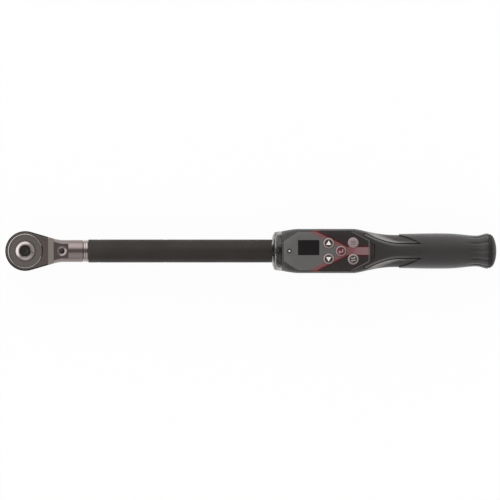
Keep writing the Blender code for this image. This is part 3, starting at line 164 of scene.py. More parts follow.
def finish(name, pale, deep, gloss, grain, relief, stretch=(1.0, 1.0, 1.0), smudge=90.0, **plain):
    """Material whose shade and gloss drift with handling, with a fine grain in relief.

    Gloss holds the least and greatest roughness, grain and smudge are counts per metre, relief is the
    grain's depth, and plain values go straight to the shader's sockets."""
    look = bpy.data.materials.new(name)
    look.use_nodes = True
    tree = look.node_tree
    shader = tree.nodes["Principled BSDF"]
    place = add(tree, "Mapping", {"Vector": add(tree, "TexCoord").outputs["Object"], "Scale": stretch})
    inputs = {"Vector": place.outputs[0], "Grain Scale": grain, "Smudge Scale": smudge}
    surface = add(tree, "Group", inputs, node_tree=HANDLED).outputs
    smudges = Field(surface["Smudge"])
    tree.links.new(smudges.mix(pale, deep), shader.inputs["Base Color"])
    tree.links.new(smudges.ramp(0.0, 1.0, *gloss).socket, shader.inputs["Roughness"])
    bump = add(tree, "Bump", {"Height": surface["Grain"], "Distance": relief})
    tree.links.new(bump.outputs[0], shader.inputs["Normal"])
    for socket, value in plain.items():
        shader.inputs[socket.replace("_", " ")].default_value = value
    return look


def lathe(profile, turn=Matrix(), steps=96):
    """Solid spun from (radius, height) points: a ring, or closed where the points meet the axis."""
    bm = bmesh.new()
    verts = [bm.verts.new((radius, 0.0, height)) for radius, height in profile]
    chain = verts + verts[:1] if profile[0][0] > 0 else verts
    edges = [bm.edges.new(pair) for pair in zip(chain, chain[1:])]
    bmesh.ops.spin(bm, geom=verts + edges, cent=(0, 0, 0), axis=(0, 0, 1), angle=math.tau, steps=steps,
                   use_merge=True)
    bmesh.ops.remove_doubles(bm, verts=bm.verts, dist=0.001 * MM)
    bmesh.ops.recalc_face_normals(bm, faces=bm.faces)
    bmesh.ops.transform(bm, matrix=turn, verts=bm.verts)
    return bm


def block(low, high):
    """Square-edged solid between two corners."""
    bm = bmesh.new()
    size = Vector(high) - Vector(low)
    centre = (Vector(high) + Vector(low)) / 2
    bmesh.ops.create_cube(bm, size=1.0, matrix=Matrix.Translation(centre) @ Matrix.Diagonal((*size, 1.0)))
    return bm


def thicken(bm, face, height):
    """Raises a flat face into a closed solid."""
    raised = bmesh.ops.extrude_face_region(bm, geom=[face])["geom"]
    verts = [item for item in raised if isinstance(item, bmesh.types.BMVert)]
    bmesh.ops.translate(bm, vec=(0, 0, height), verts=verts)
    bmesh.ops.recalc_face_normals(bm, faces=bm.faces)
    return bm


def plate(outline, low, high):
    """Flat solid cut to a plan outline."""
    bm = bmesh.new()
    face = bm.faces.new([bm.verts.new((x, y, low)) for x, y in outline])
    return thicken(bm, face, high - low)


def lying(height):
    """Turn that lays an upright piece along the wrench, at one height."""
    return Matrix.Translation((0, 0, height)) @ Matrix.Rotation(math.pi / 2, 4, "Y")


def rod(radius, low, high, turn, steps=96):
    """Round bar between two heights, turned into its place."""
    return lathe([(0, low), (radius, low), (radius, high), (0, high)], turn, steps)


def pillar(radius, x, y, low, high, steps=48):
    """Upright round bar, for drills and posts."""
    return rod(radius, low, high, Matrix.Translation((x, y, 0)), steps)


def soften(bm, edges, width, segments=3):
    """Rounds the given edges."""
    bmesh.ops.bevel(bm, geom=edges, offset=width, offset_type="OFFSET", affect="EDGES", segments=segments,
                    profile=0.5, material=-1, clamp_overlap=True)
    return bm


def carve(bm, *steps):
    """Runs (operation, tools) steps on a solid as exact booleans, tool by tool, and uses up the tools."""
    def solid(part):
        mesh = bpy.data.meshes.new("carving")
        part.to_mesh(mesh)
        part.free()
        obj = bpy.data.objects.new("carving", mesh)
        bpy.context.scene.collection.objects.link(obj)
        return obj

    for operation, *tools in steps:
        for tool in tools:
            blank, cutter = solid(bm), solid(tool)
            boolean = blank.modifiers.new(operation, "BOOLEAN")
            boolean.operation = operation
            boolean.solver = "EXACT"
            boolean.object = cutter
            evaluated = blank.evaluated_get(bpy.context.evaluated_depsgraph_get())
            shaped = bpy.data.meshes.new_from_object(evaluated)
            bm = bmesh.new()
            bm.from_mesh(shaped)
            bmesh.ops.remove_doubles(bm, verts=bm.verts, dist=0.001 * MM)
            for mesh in (shaped, blank.data, cutter.data):
                bpy.data.meshes.remove(mesh)
    return bm


def publish(name, bm, body, slot, look, *nodes, edge=0.0, crisp=34.0):
    """Makes a finished piece of a bmesh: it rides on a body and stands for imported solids."""
    mesh = bpy.data.meshes.new(name)
    if not edge:
        bmesh.ops.triangulate(bm, faces=[face for face in bm.faces if len(face.verts) > 4])
    for face in bm.faces:
        face.smooth = True
    bm.to_mesh(mesh)
    bm.free()
    mesh.materials.append(look)
    piece = bpy.data.objects.new(name, mesh)
    bpy.context.scene.collection.objects.link(piece)
    if edge:
        rounding = piece.modifiers.new("Edges", "BEVEL")
        rounding.width = edge
        rounding.segments = 3
        rounding.limit_method = "ANGLE"
        rounding.angle_limit = math.radians(crisp)
        rounding.harden_normals = True
    else:
        mesh.set_sharp_from_angle(angle=math.radians(crisp))
    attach(piece, body)
    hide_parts(*nodes)
    return piece


AXIS = sum(span("barrel", 2)) / 2
HEAD_RADIUS = -span("head_body", 0)[0]
HEAD_BOTTOM, HEAD_TOP = span("head_body", 2)
SHOULDER_X = HEAD_RADIUS + 2.8 * MM
SHOULDER_HALF = 12.6 * MM
HEAD_END = SHOULDER_X + 4.9 * MM
NECK_FLAT = 7.4 * MM
MOUTH_RADIUS = 11.1 * MM
SPIGOT = (15.5 * MM, 11.7 * MM, 8.7 * MM)
RIM_CHAMFER = 1.5 * MM
COVER_RADIUS = span("cover_plate", 1)[1]
COVER_BOTTOM, COVER_TOP = span("cover_plate", 2)
SNAP_BOTTOM, SNAP_TOP = span("snap_ring", 2)
SNAP_RADIUS = -span("snap_ring", 0)[0]
CAVITY_RADIUS = COVER_RADIUS - 0.45 * MM
CAVITY_FLOOR = span("drive_gear", 2)[1] - 10.75 * MM
JOURNAL_BORE = 8.55 * MM
LATCH_X = sum(span("latch_pin", 0)) / 2
LATCH_BORE = 2.5 * MM
LATCH_DEPTH = 3.2 * MM
PAWL_PIN_X = 11.603 * MM
PAWL_PIN_BORE = 0.95 * MM
PAWL_PIN_DEPTH = 2.0 * MM
FIT = 0.15 * MM
ROOM = 0.3 * MM


def head_blank():
    """Rim drawn as an arc between two tangents, with the shoulder and the spigot drawn out of its back."""
    reach = math.hypot(SHOULDER_X, SHOULDER_HALF)
    touch = math.atan2(SHOULDER_HALF, SHOULDER_X) + math.acos(HEAD_RADIUS / reach)
    bm = bmesh.new()
    start = bm.verts.new((HEAD_RADIUS * math.cos(touch), HEAD_RADIUS * math.sin(touch), HEAD_BOTTOM))
    swept = bmesh.ops.spin(bm, geom=[start], cent=(0, 0, 0), axis=(0, 0, 1), angle=math.tau - 2 * touch,
                           steps=72)
    corners = [bm.verts.new((SHOULDER_X, side * SHOULDER_HALF, HEAD_BOTTOM)) for side in (-1, 1)]
    loop = [swept["geom_last"][0], *corners, start]
    for pair in zip(loop, loop[1:]):
        bm.edges.new(pair)
    face = bmesh.ops.contextual_create(bm, geom=bm.edges)["faces"][0]
    thicken(bm, face, HEAD_TOP - HEAD_BOTTOM)
    length, width, height = SPIGOT
    draws = ((HEAD_END, MOUTH_RADIUS, NECK_FLAT + 0.2 * MM), (HEAD_END, width / 2, height / 2),
             (HEAD_END + length, width / 2, height / 2))
    back = max(bm.faces, key=lambda face: face.normal.x)
    for x, half, tall in draws:
        back = bmesh.ops.extrude_discrete_faces(bm, faces=[back])["faces"][0]
        for vert in back.verts:
            vert.co = (x, math.copysign(half, vert.co.y), AXIS + math.copysign(tall, vert.co.z - AXIS))
    flats = [face for face in bm.faces if abs(face.normal.z) > 0.99 and len(face.verts) > 20]
    rims = [edge for face in flats for edge in face.edges if edge.calc_face_angle() > 1.0]
    return soften(bm, rims, RIM_CHAMFER, 1)


def head_pocket():
    """Stepped bore for the ratchet, its cover and the snap ring."""
    seat = COVER_RADIUS + FIT
    shelf = COVER_BOTTOM - FIT
    groove = SNAP_RADIUS + ROOM
    return lathe([
        (0.0, HEAD_TOP + MM),
        (seat + 0.4 * MM, HEAD_TOP + MM),
        (seat + 0.4 * MM, HEAD_TOP),
        (seat, HEAD_TOP - 0.4 * MM),
        (seat, SNAP_TOP + FIT),
        (groove, SNAP_TOP + FIT),
        (groove, SNAP_BOTTOM - 0.07 * MM),
        (seat, SNAP_BOTTOM - 0.07 * MM),
        (seat, shelf),
        (CAVITY_RADIUS, shelf),
        (CAVITY_RADIUS, CAVITY_FLOOR),
        (JOURNAL_BORE, CAVITY_FLOOR),
        (JOURNAL_BORE, HEAD_BOTTOM + 0.4 * MM),
        (JOURNAL_BORE + 0.5 * MM, HEAD_BOTTOM - 0.1 * MM),
        (0.0, HEAD_BOTTOM - 0.1 * MM),
    ], steps=144)


def paint_head_reflections(look, skin, slope):
    """Paints a dark reflection on the head's sides and chamfers, and a pale highlight on the shoulder's
    slope.
    """
    coat = Coat(look)
    # Painted highlight: everything from the shoulder's start back is laid pale, where its slope would catch
    # the light.
    coat.lay(coat.x.ramp(SHOULDER_X - 0.05 * MM, SHOULDER_X + 0.05 * MM), slope)
    inside = coat.x.ramp(SHOULDER_X, HEAD_END, SHOULDER_HALF, MOUTH_RADIUS) - abs(coat.y)
    sides = coat.x.ramp(SHOULDER_X, SHOULDER_X - 0.3 * MM).most(inside.ramp(0.3 * MM, 0.1 * MM))
    sides *= coat.z.ramp(HEAD_TOP - 0.05 * MM, HEAD_TOP - 0.25 * MM)
    sides *= coat.z.ramp(HEAD_BOTTOM + 0.05 * MM, HEAD_BOTTOM + 0.25 * MM)
    # Painted dark reflection: the sides and chamfers below the top face are laid dark.
    coat.lay(sides, skin)


SATIN_CHROME = finish("satin_chrome_dark", (144, 132, 127), (126, 115, 110), (0.26, 0.36), 2600.0,
                      0.004 * MM, smudge=60.0, Metallic=1.0)
# Dark painted reflection for the sides, pale painted highlight for the shoulder.
paint_head_reflections(SATIN_CHROME, (48, 46, 44), (164, 153, 147))
latch_bore = pillar(LATCH_BORE, LATCH_X, 0.0, AXIS - LATCH_DEPTH, AXIS + NECK_FLAT)
pin_bore = pillar(PAWL_PIN_BORE, PAWL_PIN_X, 0.0, CAVITY_FLOOR - PAWL_PIN_DEPTH, HEAD_TOP)
head = carve(head_blank(), ("DIFFERENCE", head_pocket(), latch_bore, pin_bore))
publish("head_forging", head, "wrench", "satin_chrome", SATIN_CHROME, "head_body", crisp=12.0)


# Ratchet: a toothed gear that ends in the half inch square, its sprung ball, pawl, pin and plunger.
# They are hardened tool steel, ground and oiled, and drop into the head before the cover goes on.

def dress(look, *nodes):
    """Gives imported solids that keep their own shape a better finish."""
    for name in nodes:
        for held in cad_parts[name].material_slots:
            held.material = look


SQUARE_HALF = 6.35 * MM
SQUARE_CORNER = 1.0 * MM
SQUARE_CHAMFER = 0.9 * MM
SQUARE_TOP = HEAD_BOTTOM - 0.4 * MM
TOOTH_COUNT = 36
TOOTH_ROOT = 8.803 * MM
TOOTH_TIP = 9.603 * MM
TOOTH_SHAPE = (
    (TOOTH_ROOT, -0.38),
    (TOOTH_TIP, -0.12),
    (TOOTH_TIP, 0.12),
    (TOOTH_ROOT, 0.38),
    (TOOTH_ROOT, 0.62),
)
BALL_HEIGHT = sum(span("detent_ball", 2)) / 2
BALL_BORE = 2.35 * MM
BALL_STEPS = 24
ROD_BORE = 2.5 * MM
ROD_BORE_END = 4.1 * MM
SPRING_SEAT = (3.9 * MM, 2.4 * MM)


def level_edges(bm, height):
    """Edges that lie flat at one height."""
    return [edge for edge in bm.edges if all(abs(vert.co.z - height) < 0.01 * MM for vert in edge.verts)]


def upright_edges(bm):
    """Edges that run up a squared block."""
    return [edge for edge in bm.edges if abs(edge.verts[0].co.z - edge.verts[1].co.z) > 0.1 * MM]


def square_drive():
    """Square with broken corners and a chamfered end, drilled for the ball, under its journal."""
    low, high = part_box("drive_gear")
    half = SQUARE_HALF
    bm = block((-half, -half, low.z), (half, half, SQUARE_TOP + MM))
    soften(bm, upright_edges(bm), SQUARE_CORNER)
    soften(bm, level_edges(bm, low.z), SQUARE_CHAMFER, 2)
    journal = pillar(JOURNAL_BORE - FIT, 0.0, 0.0, SQUARE_TOP, CAVITY_FLOOR + MM, 96)
    wheel = bmesh.new()
    pitch = math.tau / TOOTH_COUNT
    flank = []
    for radius, share in TOOTH_SHAPE:
        angle = share * pitch
        place = (radius * math.cos(angle), radius * math.sin(angle), CAVITY_FLOOR + FIT)
        flank.append(wheel.verts.new(place))
    tooth = [wheel.edges.new(pair) for pair in zip(flank, flank[1:])]
    bmesh.ops.spin(wheel, geom=flank + tooth, cent=(0, 0, 0), axis=(0, 0, 1), angle=math.tau - pitch,
                   steps=TOOTH_COUNT - 1, use_duplicate=True)
    bmesh.ops.remove_doubles(wheel, verts=wheel.verts, dist=0.01 * MM)
    face = bmesh.ops.contextual_create(wheel, geom=wheel.edges)["faces"][0]
    thicken(wheel, face, high.z - CAVITY_FLOOR - FIT)
    rod_bore = pillar(ROD_BORE, 0.0, 0.0, ROD_BORE_END, high.z + MM)
    seat_radius, seat_depth = SPRING_SEAT
    spring_seat = pillar(seat_radius, 0.0, 0.0, high.z - seat_depth, high.z + MM)
    ball_bore = rod(BALL_BORE, 0, 2 * half, lying(BALL_HEIGHT), 40)
    return carve(bm, ("UNION", journal, wheel), ("DIFFERENCE", rod_bore, spring_seat, ball_bore))


GROUND_STEEL = finish("ground_steel", (158, 153, 149), (132, 127, 122), (0.22, 0.4), 1800.0, 0.003 * MM,
                      (1.0, 1.0, 9.0), Metallic=1.0)
publish("square_drive", square_drive(), "drive", "tool_steel", GROUND_STEEL, "drive_gear")
ball_radius = (span("detent_ball", 2)[1] - span("detent_ball", 2)[0]) / 2
ball_x = span("detent_ball", 0)[1] - ball_radius
turns = [math.pi * step / BALL_STEPS for step in range(BALL_STEPS + 1)]
arc = [(ball_radius * math.sin(turn), ball_radius * math.cos(turn)) for turn in turns]
ball = lathe(arc, Matrix.Translation((ball_x, 0, BALL_HEIGHT)), 48)
BRIGHT_CHROME = finish("bright_chrome", (180, 172, 170), (162, 154, 152), (0.1, 0.18), 900.0, 0.002 * MM,
                       smudge=70.0, Metallic=1.0)
publish("detent_bearing", ball, "drive", "bright_chrome", BRIGHT_CHROME, "detent_ball")
dress(GROUND_STEEL, "pawl", "pawl_pin", "pawl_plunger")


COIL_STEPS = 24


def coil(name, node, body, wire, turns):
    """Coil spring in a packed one's place: a round wire wound up a helix."""
    low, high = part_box(node)
    radius = (high.y - low.y) / 2 - wire
    steps = int(turns * COIL_STEPS)
    rise = (high.z - low.z - 2 * wire) / steps
    bm = bmesh.new()
    start = Matrix.Translation((radius, 0, low.z + wire)) @ Matrix.Rotation(math.pi / 2, 4, "X")
    bmesh.ops.create_circle(bm, cap_ends=True, radius=wire, segments=12, matrix=start)
    bmesh.ops.spin(bm, geom=bm.faces[:], cent=(0, 0, 0), axis=(0, 0, 1), dvec=(0, 0, rise),
                   angle=math.tau * turns, steps=steps)
    bmesh.ops.translate(bm, vec=((low.x + high.x) / 2, 0, 0), verts=bm.verts)
    bmesh.ops.recalc_face_normals(bm, faces=bm.faces)
    spring = publish(name, bm, body, "tool_steel", GROUND_STEEL, node)
    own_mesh(spring)


coil("release_spring", "button_spring", "drive", 0.35 * MM, 5)
coil("latch_return", "latch_spring", "wrench", 0.3 * MM, 2.5)


# Cover plate and snap ring: a turned steel washer closes the ratchet, and an open wire ring sprung
# into the head's groove holds it down. The plate keeps the fine rings of the lathe tool.

def turned_rings(look, pitch, depth):
    """Adds the fine rings of a lathe tool, about the head's axis, to a finish."""
    tree = look.node_tree
    bump = tree.nodes["Bump"]
    place = add(tree, "TexCoord").outputs["Object"]
    rings = add(tree, "TexWave", {"Vector": place, "Scale": math.pi / (10 * pitch), "Distortion": 0.4},
                wave_type="RINGS", rings_direction="Z")
    cut = add(tree, "Bump", {"Height": rings.outputs["Fac"], "Distance": depth, "Normal": bump.outputs[0]})
    tree.links.new(cut.outputs[0], tree.nodes["Principled BSDF"].inputs["Normal"])


DIAL_RADIUS = 8.55 * MM
cover = lathe([
    (DIAL_RADIUS + ROOM, COVER_TOP - 0.3 * MM),
    (DIAL_RADIUS + 0.6 * MM, COVER_TOP),
    (COVER_RADIUS - 0.4 * MM, COVER_TOP),
    (COVER_RADIUS, COVER_TOP - 0.4 * MM),
    (COVER_RADIUS, COVER_BOTTOM),
    (DIAL_RADIUS + ROOM, COVER_BOTTOM),
], steps=144)
TURNED_CHROME = finish("turned_chrome", (166, 158, 153), (146, 138, 133), (0.24, 0.34), 1500.0, 0.002 * MM,
                       smudge=60.0, Metallic=1.0)
turned_rings(TURNED_CHROME, 0.5 * MM, 0.012 * MM)
publish("ratchet_cover", cover, "wrench", "satin_chrome", TURNED_CHROME, "cover_plate")
SNAP_WIDTH = 1.6 * MM
SNAP_OPENING = math.radians(36)
SNAP_INNER = SNAP_RADIUS - SNAP_WIDTH
BEAD_RADIUS = COVER_RADIUS + 0.03 * MM
BEAD_TOP = HEAD_TOP - 0.4 * MM
corners = (
    (SNAP_INNER, SNAP_BOTTOM),
    (SNAP_RADIUS, SNAP_BOTTOM),
    (SNAP_RADIUS, SNAP_TOP),
    (BEAD_RADIUS, SNAP_TOP),
    (BEAD_RADIUS, BEAD_TOP - 0.26 * MM),
    (BEAD_RADIUS - 0.6 * MM, BEAD_TOP),
    (BEAD_RADIUS - 0.8 * MM, BEAD_TOP - 0.04 * MM),
    (SNAP_INNER, BEAD_TOP - 1.1 * MM),
)
ring = bmesh.new()
section = ring.faces.new([ring.verts.new((radius, 0, height)) for radius, height in corners])
bmesh.ops.spin(ring, geom=[section], cent=(0, 0, 0), axis=(0, 0, 1), angle=math.tau - SNAP_OPENING,
               steps=120)
bmesh.ops.rotate(ring, cent=(0, 0, 0), matrix=Matrix.Rotation(SNAP_OPENING / 2, 3, "Z"), verts=ring.verts)
bmesh.ops.recalc_face_normals(ring, faces=ring.faces)
publish("retaining_ring", ring, "wrench", "bright_chrome", BRIGHT_CHROME, "snap_ring", edge=0.06 * MM)


# Reversing dial and release button: a polished ring turns to change the ratchet's direction, and the
# black button in its middle frees the socket. Both are turned; the dial's notch marks its place.

DIAL_TOP = span("reversing_dial", 2)[1]
DIAL_BORE = 4.6 * MM
DIAL_FLANGE = span("reversing_dial", 1)[1]
DIAL_SHOULDER = COVER_BOTTOM - 0.45 * MM
DIAL_BOTTOM = DIAL_SHOULDER - 1.5 * MM
DIAL_SWING = math.radians(12)
dial = lathe([
    (DIAL_BORE, DIAL_TOP - 0.9 * MM),
    (DIAL_BORE + 0.9 * MM, DIAL_TOP),
    (DIAL_BORE + 1.6 * MM, DIAL_TOP),
    (DIAL_RADIUS - 0.5 * MM, DIAL_TOP - 1.2 * MM),
    (DIAL_RADIUS, DIAL_TOP - 1.7 * MM),
    (DIAL_RADIUS, DIAL_SHOULDER),
    (DIAL_FLANGE, DIAL_SHOULDER),
    (DIAL_FLANGE, DIAL_BOTTOM),
    (DIAL_BORE, DIAL_BOTTOM),
], steps=144)
FINGER_LOW = Vector((13.1 * MM, -1.6 * MM, span("reversing_dial", 2)[0]))
FINGER_HIGH = Vector((14.4 * MM, 1.6 * MM, DIAL_SHOULDER - 0.2 * MM))
NOTCH_RADIUS = 0.7 * MM
NOTCH_X = 6.9 * MM
PLUNGER_BORE = 0.75 * MM
PLUNGER_REACH = (12.6 * MM, 15.2 * MM)
notch = pillar(NOTCH_RADIUS, NOTCH_X, 0.0, DIAL_TOP - 2.0 * MM, DIAL_TOP + MM, 24)
plunger_height = sum(span("pawl_plunger", 2)) / 2
plunger_bore = rod(PLUNGER_BORE, *PLUNGER_REACH, lying(plunger_height), 24)
finger = block(FINGER_LOW, FINGER_HIGH)
dial = carve(dial, ("UNION", finger), ("DIFFERENCE", notch, plunger_bore))
bmesh.ops.transform(dial, matrix=Matrix.Rotation(-DIAL_SWING, 4, "Z"), verts=dial.verts)
publish("direction_dial", dial, "dial", "bright_chrome", BRIGHT_CHROME, "reversing_dial", edge=0.15 * MM)
BUTTON_RADIUS = 4.3 * MM
BUTTON_TOP = span("release_button", 2)[1]
ROD_RADIUS = 2.2 * MM
ROD_END = span("release_button", 2)[0]
rod_neck = BALL_HEIGHT + 3.0 * MM
button = lathe([
    (0.0, BUTTON_TOP - 0.5 * MM),
    (1.6 * MM, BUTTON_TOP - 0.4 * MM),
    (2.8 * MM, BUTTON_TOP - 0.1 * MM),
    (3.3 * MM, BUTTON_TOP),
    (3.9 * MM, BUTTON_TOP - 0.1 * MM),
    (BUTTON_RADIUS, BUTTON_TOP - 0.5 * MM),
    (BUTTON_RADIUS, BUTTON_TOP - 3.2 * MM),
    (ROD_RADIUS, BUTTON_TOP - 3.2 * MM),
    (ROD_RADIUS, rod_neck + 1.9 * MM),
    (1.3 * MM, rod_neck + 0.8 * MM),
    (1.3 * MM, rod_neck - 0.8 * MM),
    (ROD_RADIUS, rod_neck - 1.9 * MM),
    (ROD_RADIUS, ROD_END),
    (0.0, ROD_END),
], steps=72)
BLACKED_STEEL = finish("blacked_steel", (62, 56, 53), (44, 39, 37), (0.3, 0.45), 1600.0, 0.006 * MM,
                       Metallic=0.6)
publish("socket_release", button, "release", "component_black", BLACKED_STEEL, "release_button")


# Socket neck: a turned and bright-chromed steel tube with two milled flats, which takes the head's
# spigot. It runs on inside the barrel as the bending beam, and a sprung pin in it locks the head.

ALONG = lying(AXIS)
NECK_X = HEAD_END + 0.05 * MM
NECK_END = span("collar_ring", 0)[0] - ROOM
NECK_RADIUS = span("collar_ring", 1)[1]
NECK_FLARE = 8.0 * MM
FLARE_STEPS = 8
NECK_FLAT_LENGTH = 13.2 * MM
SHANK_RADIUS = 8.05 * MM
BEAM_X = NECK_END + 23.0 * MM
BEAM_END = BEAM_X + 43.0 * MM
PLUG_END = span("socket_neck", 0)[1]
BEAM_HALF = (4.5 * MM, 6.2 * MM)
LEAD_HALF = 0.9 * MM


def bar(radius, start, end):
    """Round bar on the wrench's axis."""
    return rod(radius, start, end, ALONG)


def flare(share):
    """Radius and place along the mouth's flare, from the mouth at 0 to the neck at 1."""
    radius = NECK_RADIUS + (MOUTH_RADIUS - NECK_RADIUS) * (1 - share) ** 1.6
    return radius, NECK_X + NECK_FLARE * (0.1 + 0.9 * share)


def neck_blank():
    """Turned neck with its flare and shank, the square beam and the plug behind it."""
    outline = [(0.0, NECK_X), (MOUTH_RADIUS - FIT, NECK_X), (MOUTH_RADIUS, NECK_X + FIT)]
    outline += [flare(step / FLARE_STEPS) for step in range(1, FLARE_STEPS + 1)]
    outline += [
        (NECK_RADIUS, NECK_END - 0.4 * MM),
        (NECK_RADIUS - 0.4 * MM, NECK_END),
        (SHANK_RADIUS, NECK_END),
        (SHANK_RADIUS, BEAM_X + MM),
        (0.0, BEAM_X + MM),
    ]
    wide, tall = BEAM_HALF
    beam = block((BEAM_X, -wide, AXIS - tall), (BEAM_END + MM, wide, AXIS + tall))
    plug = bar(SHANK_RADIUS, BEAM_END, PLUG_END)
    return carve(lathe(outline, ALONG, 144), ("UNION", beam, plug))


def neck_cutters():
    """Milled flats, socket, latch hole with its dished mouth, and lead slot."""
    reach = 2 * MOUTH_RADIUS
    end = NECK_X + NECK_FLAT_LENGTH
    flats = [block((NECK_X - MM, -reach, AXIS + NECK_FLAT), (end, reach, AXIS + reach)),
             block((NECK_X - MM, -reach, AXIS - reach), (end, reach, AXIS - NECK_FLAT))]
    length, width, height = SPIGOT
    wide, tall = width / 2 + ROOM, height / 2 + ROOM
    socket = block((NECK_X - MM, -wide, AXIS - tall), (HEAD_END + length + ROOM, wide, AXIS + tall))
    top = AXIS + NECK_FLAT
    dish = lathe([
        (0, top + MM),
        (LATCH_BORE + 1.9 * MM, top + MM),
        (LATCH_BORE + 1.9 * MM, top),
        (LATCH_BORE + 1.3 * MM, top - 0.5 * MM),
        (LATCH_BORE, top - 1.2 * MM),
        (LATCH_BORE, AXIS),
        (0, AXIS),
    ], Matrix.Translation((LATCH_X, 0, 0)), 72)
    slot_floor = AXIS + BEAM_HALF[1] - 0.2 * MM
    slot = block((BEAM_END - MM, -LEAD_HALF, slot_floor), (PLUG_END + MM, LEAD_HALF, AXIS + reach))
    return [*flats, socket, dish, slot]


PIN_HOLE = 1.65 * MM
DRILL_REACH = 20 * MM


def cross_drill(node):
    """Drill from side to side through the place of a packed pin."""
    low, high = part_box(node)
    centre = (low + high) / 2
    turn = Matrix.Translation((centre.x, 0, centre.z)) @ Matrix.Rotation(math.pi / 2, 4, "X")
    return rod(PIN_HOLE, -DRILL_REACH, DRILL_REACH, turn, 40)


drills = [cross_drill(node) for node in ("barrel_pin_front", "barrel_pin_rear")]
neck = carve(neck_blank(), ("DIFFERENCE", *neck_cutters(), *drills))
NECK_CHROME = finish("neck_chrome", (148, 136, 133), (132, 121, 118), (0.2, 0.3), 1400.0, 0.003 * MM,
                     (0.15, 1.0, 1.0), smudge=80.0, Metallic=1.0)
publish("neck_socket", neck, "wrench", "bright_chrome", NECK_CHROME, "socket_neck", edge=0.1 * MM)
LATCH_RADIUS = 2.2 * MM
LATCH_BOTTOM, LATCH_TOP = span("latch_pin", 2)
latch = lathe([
    (0.0, LATCH_TOP),
    (1.1 * MM, LATCH_TOP - 0.1 * MM),
    (1.7 * MM, LATCH_TOP - 0.35 * MM),
    (LATCH_RADIUS, LATCH_TOP - 0.9 * MM),
    (LATCH_RADIUS, LATCH_BOTTOM + 0.3 * MM),
    (LATCH_RADIUS - 0.3 * MM, LATCH_BOTTOM),
    (0.0, LATCH_BOTTOM),
], Matrix.Translation((LATCH_X, 0, 0)), 60)
publish("spigot_latch", latch, "latch", "satin_chrome", BLACKED_STEEL, "latch_pin")


# Collar ring: a narrow polished ring between the neck and the barrel, grooved at its middle.
# It is turned from bar and slides on the shank before the barrel is pinned.

COLLAR_X, COLLAR_END = span("collar_ring", 0)
COLLAR_BORE = SHANK_RADIUS + FIT
collar = lathe([
    (COLLAR_BORE, COLLAR_END),
    (NECK_RADIUS - 0.3 * MM, COLLAR_END),
    (NECK_RADIUS, COLLAR_END - 0.3 * MM),
    (NECK_RADIUS, COLLAR_X + 2.4 * MM),
    (NECK_RADIUS - 0.5 * MM, COLLAR_X + 2.1 * MM),
    (NECK_RADIUS - 0.5 * MM, COLLAR_X + 1.7 * MM),
    (NECK_RADIUS, COLLAR_X + 1.4 * MM),
    (NECK_RADIUS, COLLAR_X + 0.5 * MM),
    (NECK_RADIUS - 0.5 * MM, COLLAR_X),
    (COLLAR_BORE, COLLAR_X),
], ALONG, 144)
publish("barrel_collar", collar, "wrench", "bright_chrome", BRIGHT_CHROME, "collar_ring")


# Barrel: drawn steel tube in black satin enamel, from the collar into the handle. Cross pins hold it,
# and the strain gauges on the beam inside it send their lead out through its roof.

BARREL_RADIUS = span("barrel", 1)[1]
BARREL_BORE = BARREL_RADIUS - 2.0 * MM
BARREL_X, BARREL_END = span("barrel", 0)
barrel = lathe([
    (BARREL_BORE, BARREL_END),
    (BARREL_RADIUS, BARREL_END),
    (BARREL_RADIUS, BARREL_X + 0.6 * MM),
    (BARREL_RADIUS - 0.2 * MM, BARREL_X + 0.2 * MM),
    (BARREL_RADIUS - 0.6 * MM, BARREL_X),
    (BARREL_BORE, BARREL_X),
], ALONG, 160)
pins = ("barrel_pin_front", "barrel_pin_rear", "barrel_pin_joint")
drills = [cross_drill(node) for node in pins]
GAUGE_EXIT = span("gauge_lead", 0)[1] - 1.2 * MM
POWER_EXIT = span("power_lead", 0)[0] + 0.8 * MM
for radius, x in ((2.4 * MM, GAUGE_EXIT), (1.6 * MM, POWER_EXIT)):
    drills.append(pillar(radius, x, 0.0, AXIS, AXIS + 2 * BARREL_RADIUS))
barrel = carve(barrel, ("DIFFERENCE", *drills))
BLACK_ENAMEL = finish("black_enamel", (50, 45, 43), (44, 39, 37), (0.42, 0.52), 3200.0, 0.008 * MM,
                      smudge=40.0, Specular_IOR_Level=0.2)
publish("barrel_tube", barrel, "wrench", "black_barrel", BLACK_ENAMEL, "barrel")
GAUGE_FOIL = finish("gauge_foil_grid", (196, 150, 84), (150, 106, 52), (0.3, 0.45), 2400.0, 0.006 * MM,
                    (12.0, 1.0, 1.0), Metallic=0.8)
LEAD_SLEEVE = finish("lead_sleeve", (40, 38, 38), (28, 27, 27), (0.5, 0.65), 2200.0, 0.01 * MM)
dress(GAUGE_FOIL, *(f"strain_gauge_{number}" for number in (1, 2, 3, 4)))
dress(LEAD_SLEEVE, "gauge_lead", "power_lead")
dress(GROUND_STEEL, *pins)


# Light ring: a smoked acrylic moulding round the barrel that glows when the set torque is reached.
# It is polished outside and hollow behind, and clips over the lamp board on the housing's front.

LENS_X, LENS_END = span("light_ring", 0)
LENS_RADIUS = span("light_ring", 1)[1]
LENS_BORE = BARREL_RADIUS + ROOM
LENS_CAVITY = LENS_RADIUS - 2.6 * MM
LENS_FACE = 3.2 * MM
lens_run = LENS_END - LENS_X
lens = lathe([
    (LENS_CAVITY, LENS_END),
    (LENS_RADIUS, LENS_END),
    (LENS_RADIUS, LENS_X + 0.82 * lens_run),
    (LENS_RADIUS - 0.3 * MM, LENS_X + 0.6 * lens_run),
    (LENS_RADIUS - 0.8 * MM, LENS_X + 0.3 * lens_run),
    (LENS_RADIUS - 1.7 * MM, LENS_X + 0.19 * lens_run),
    (LENS_BORE + 3.4 * MM, LENS_X + 0.1 * lens_run),
    (LENS_BORE + 1.2 * MM, LENS_X),
    (LENS_BORE, LENS_X),
    (LENS_BORE, LENS_X + LENS_FACE),
    (LENS_CAVITY - 0.6 * MM, LENS_X + LENS_FACE),
    (LENS_CAVITY, LENS_X + LENS_FACE + 0.6 * MM),
], ALONG, 160)
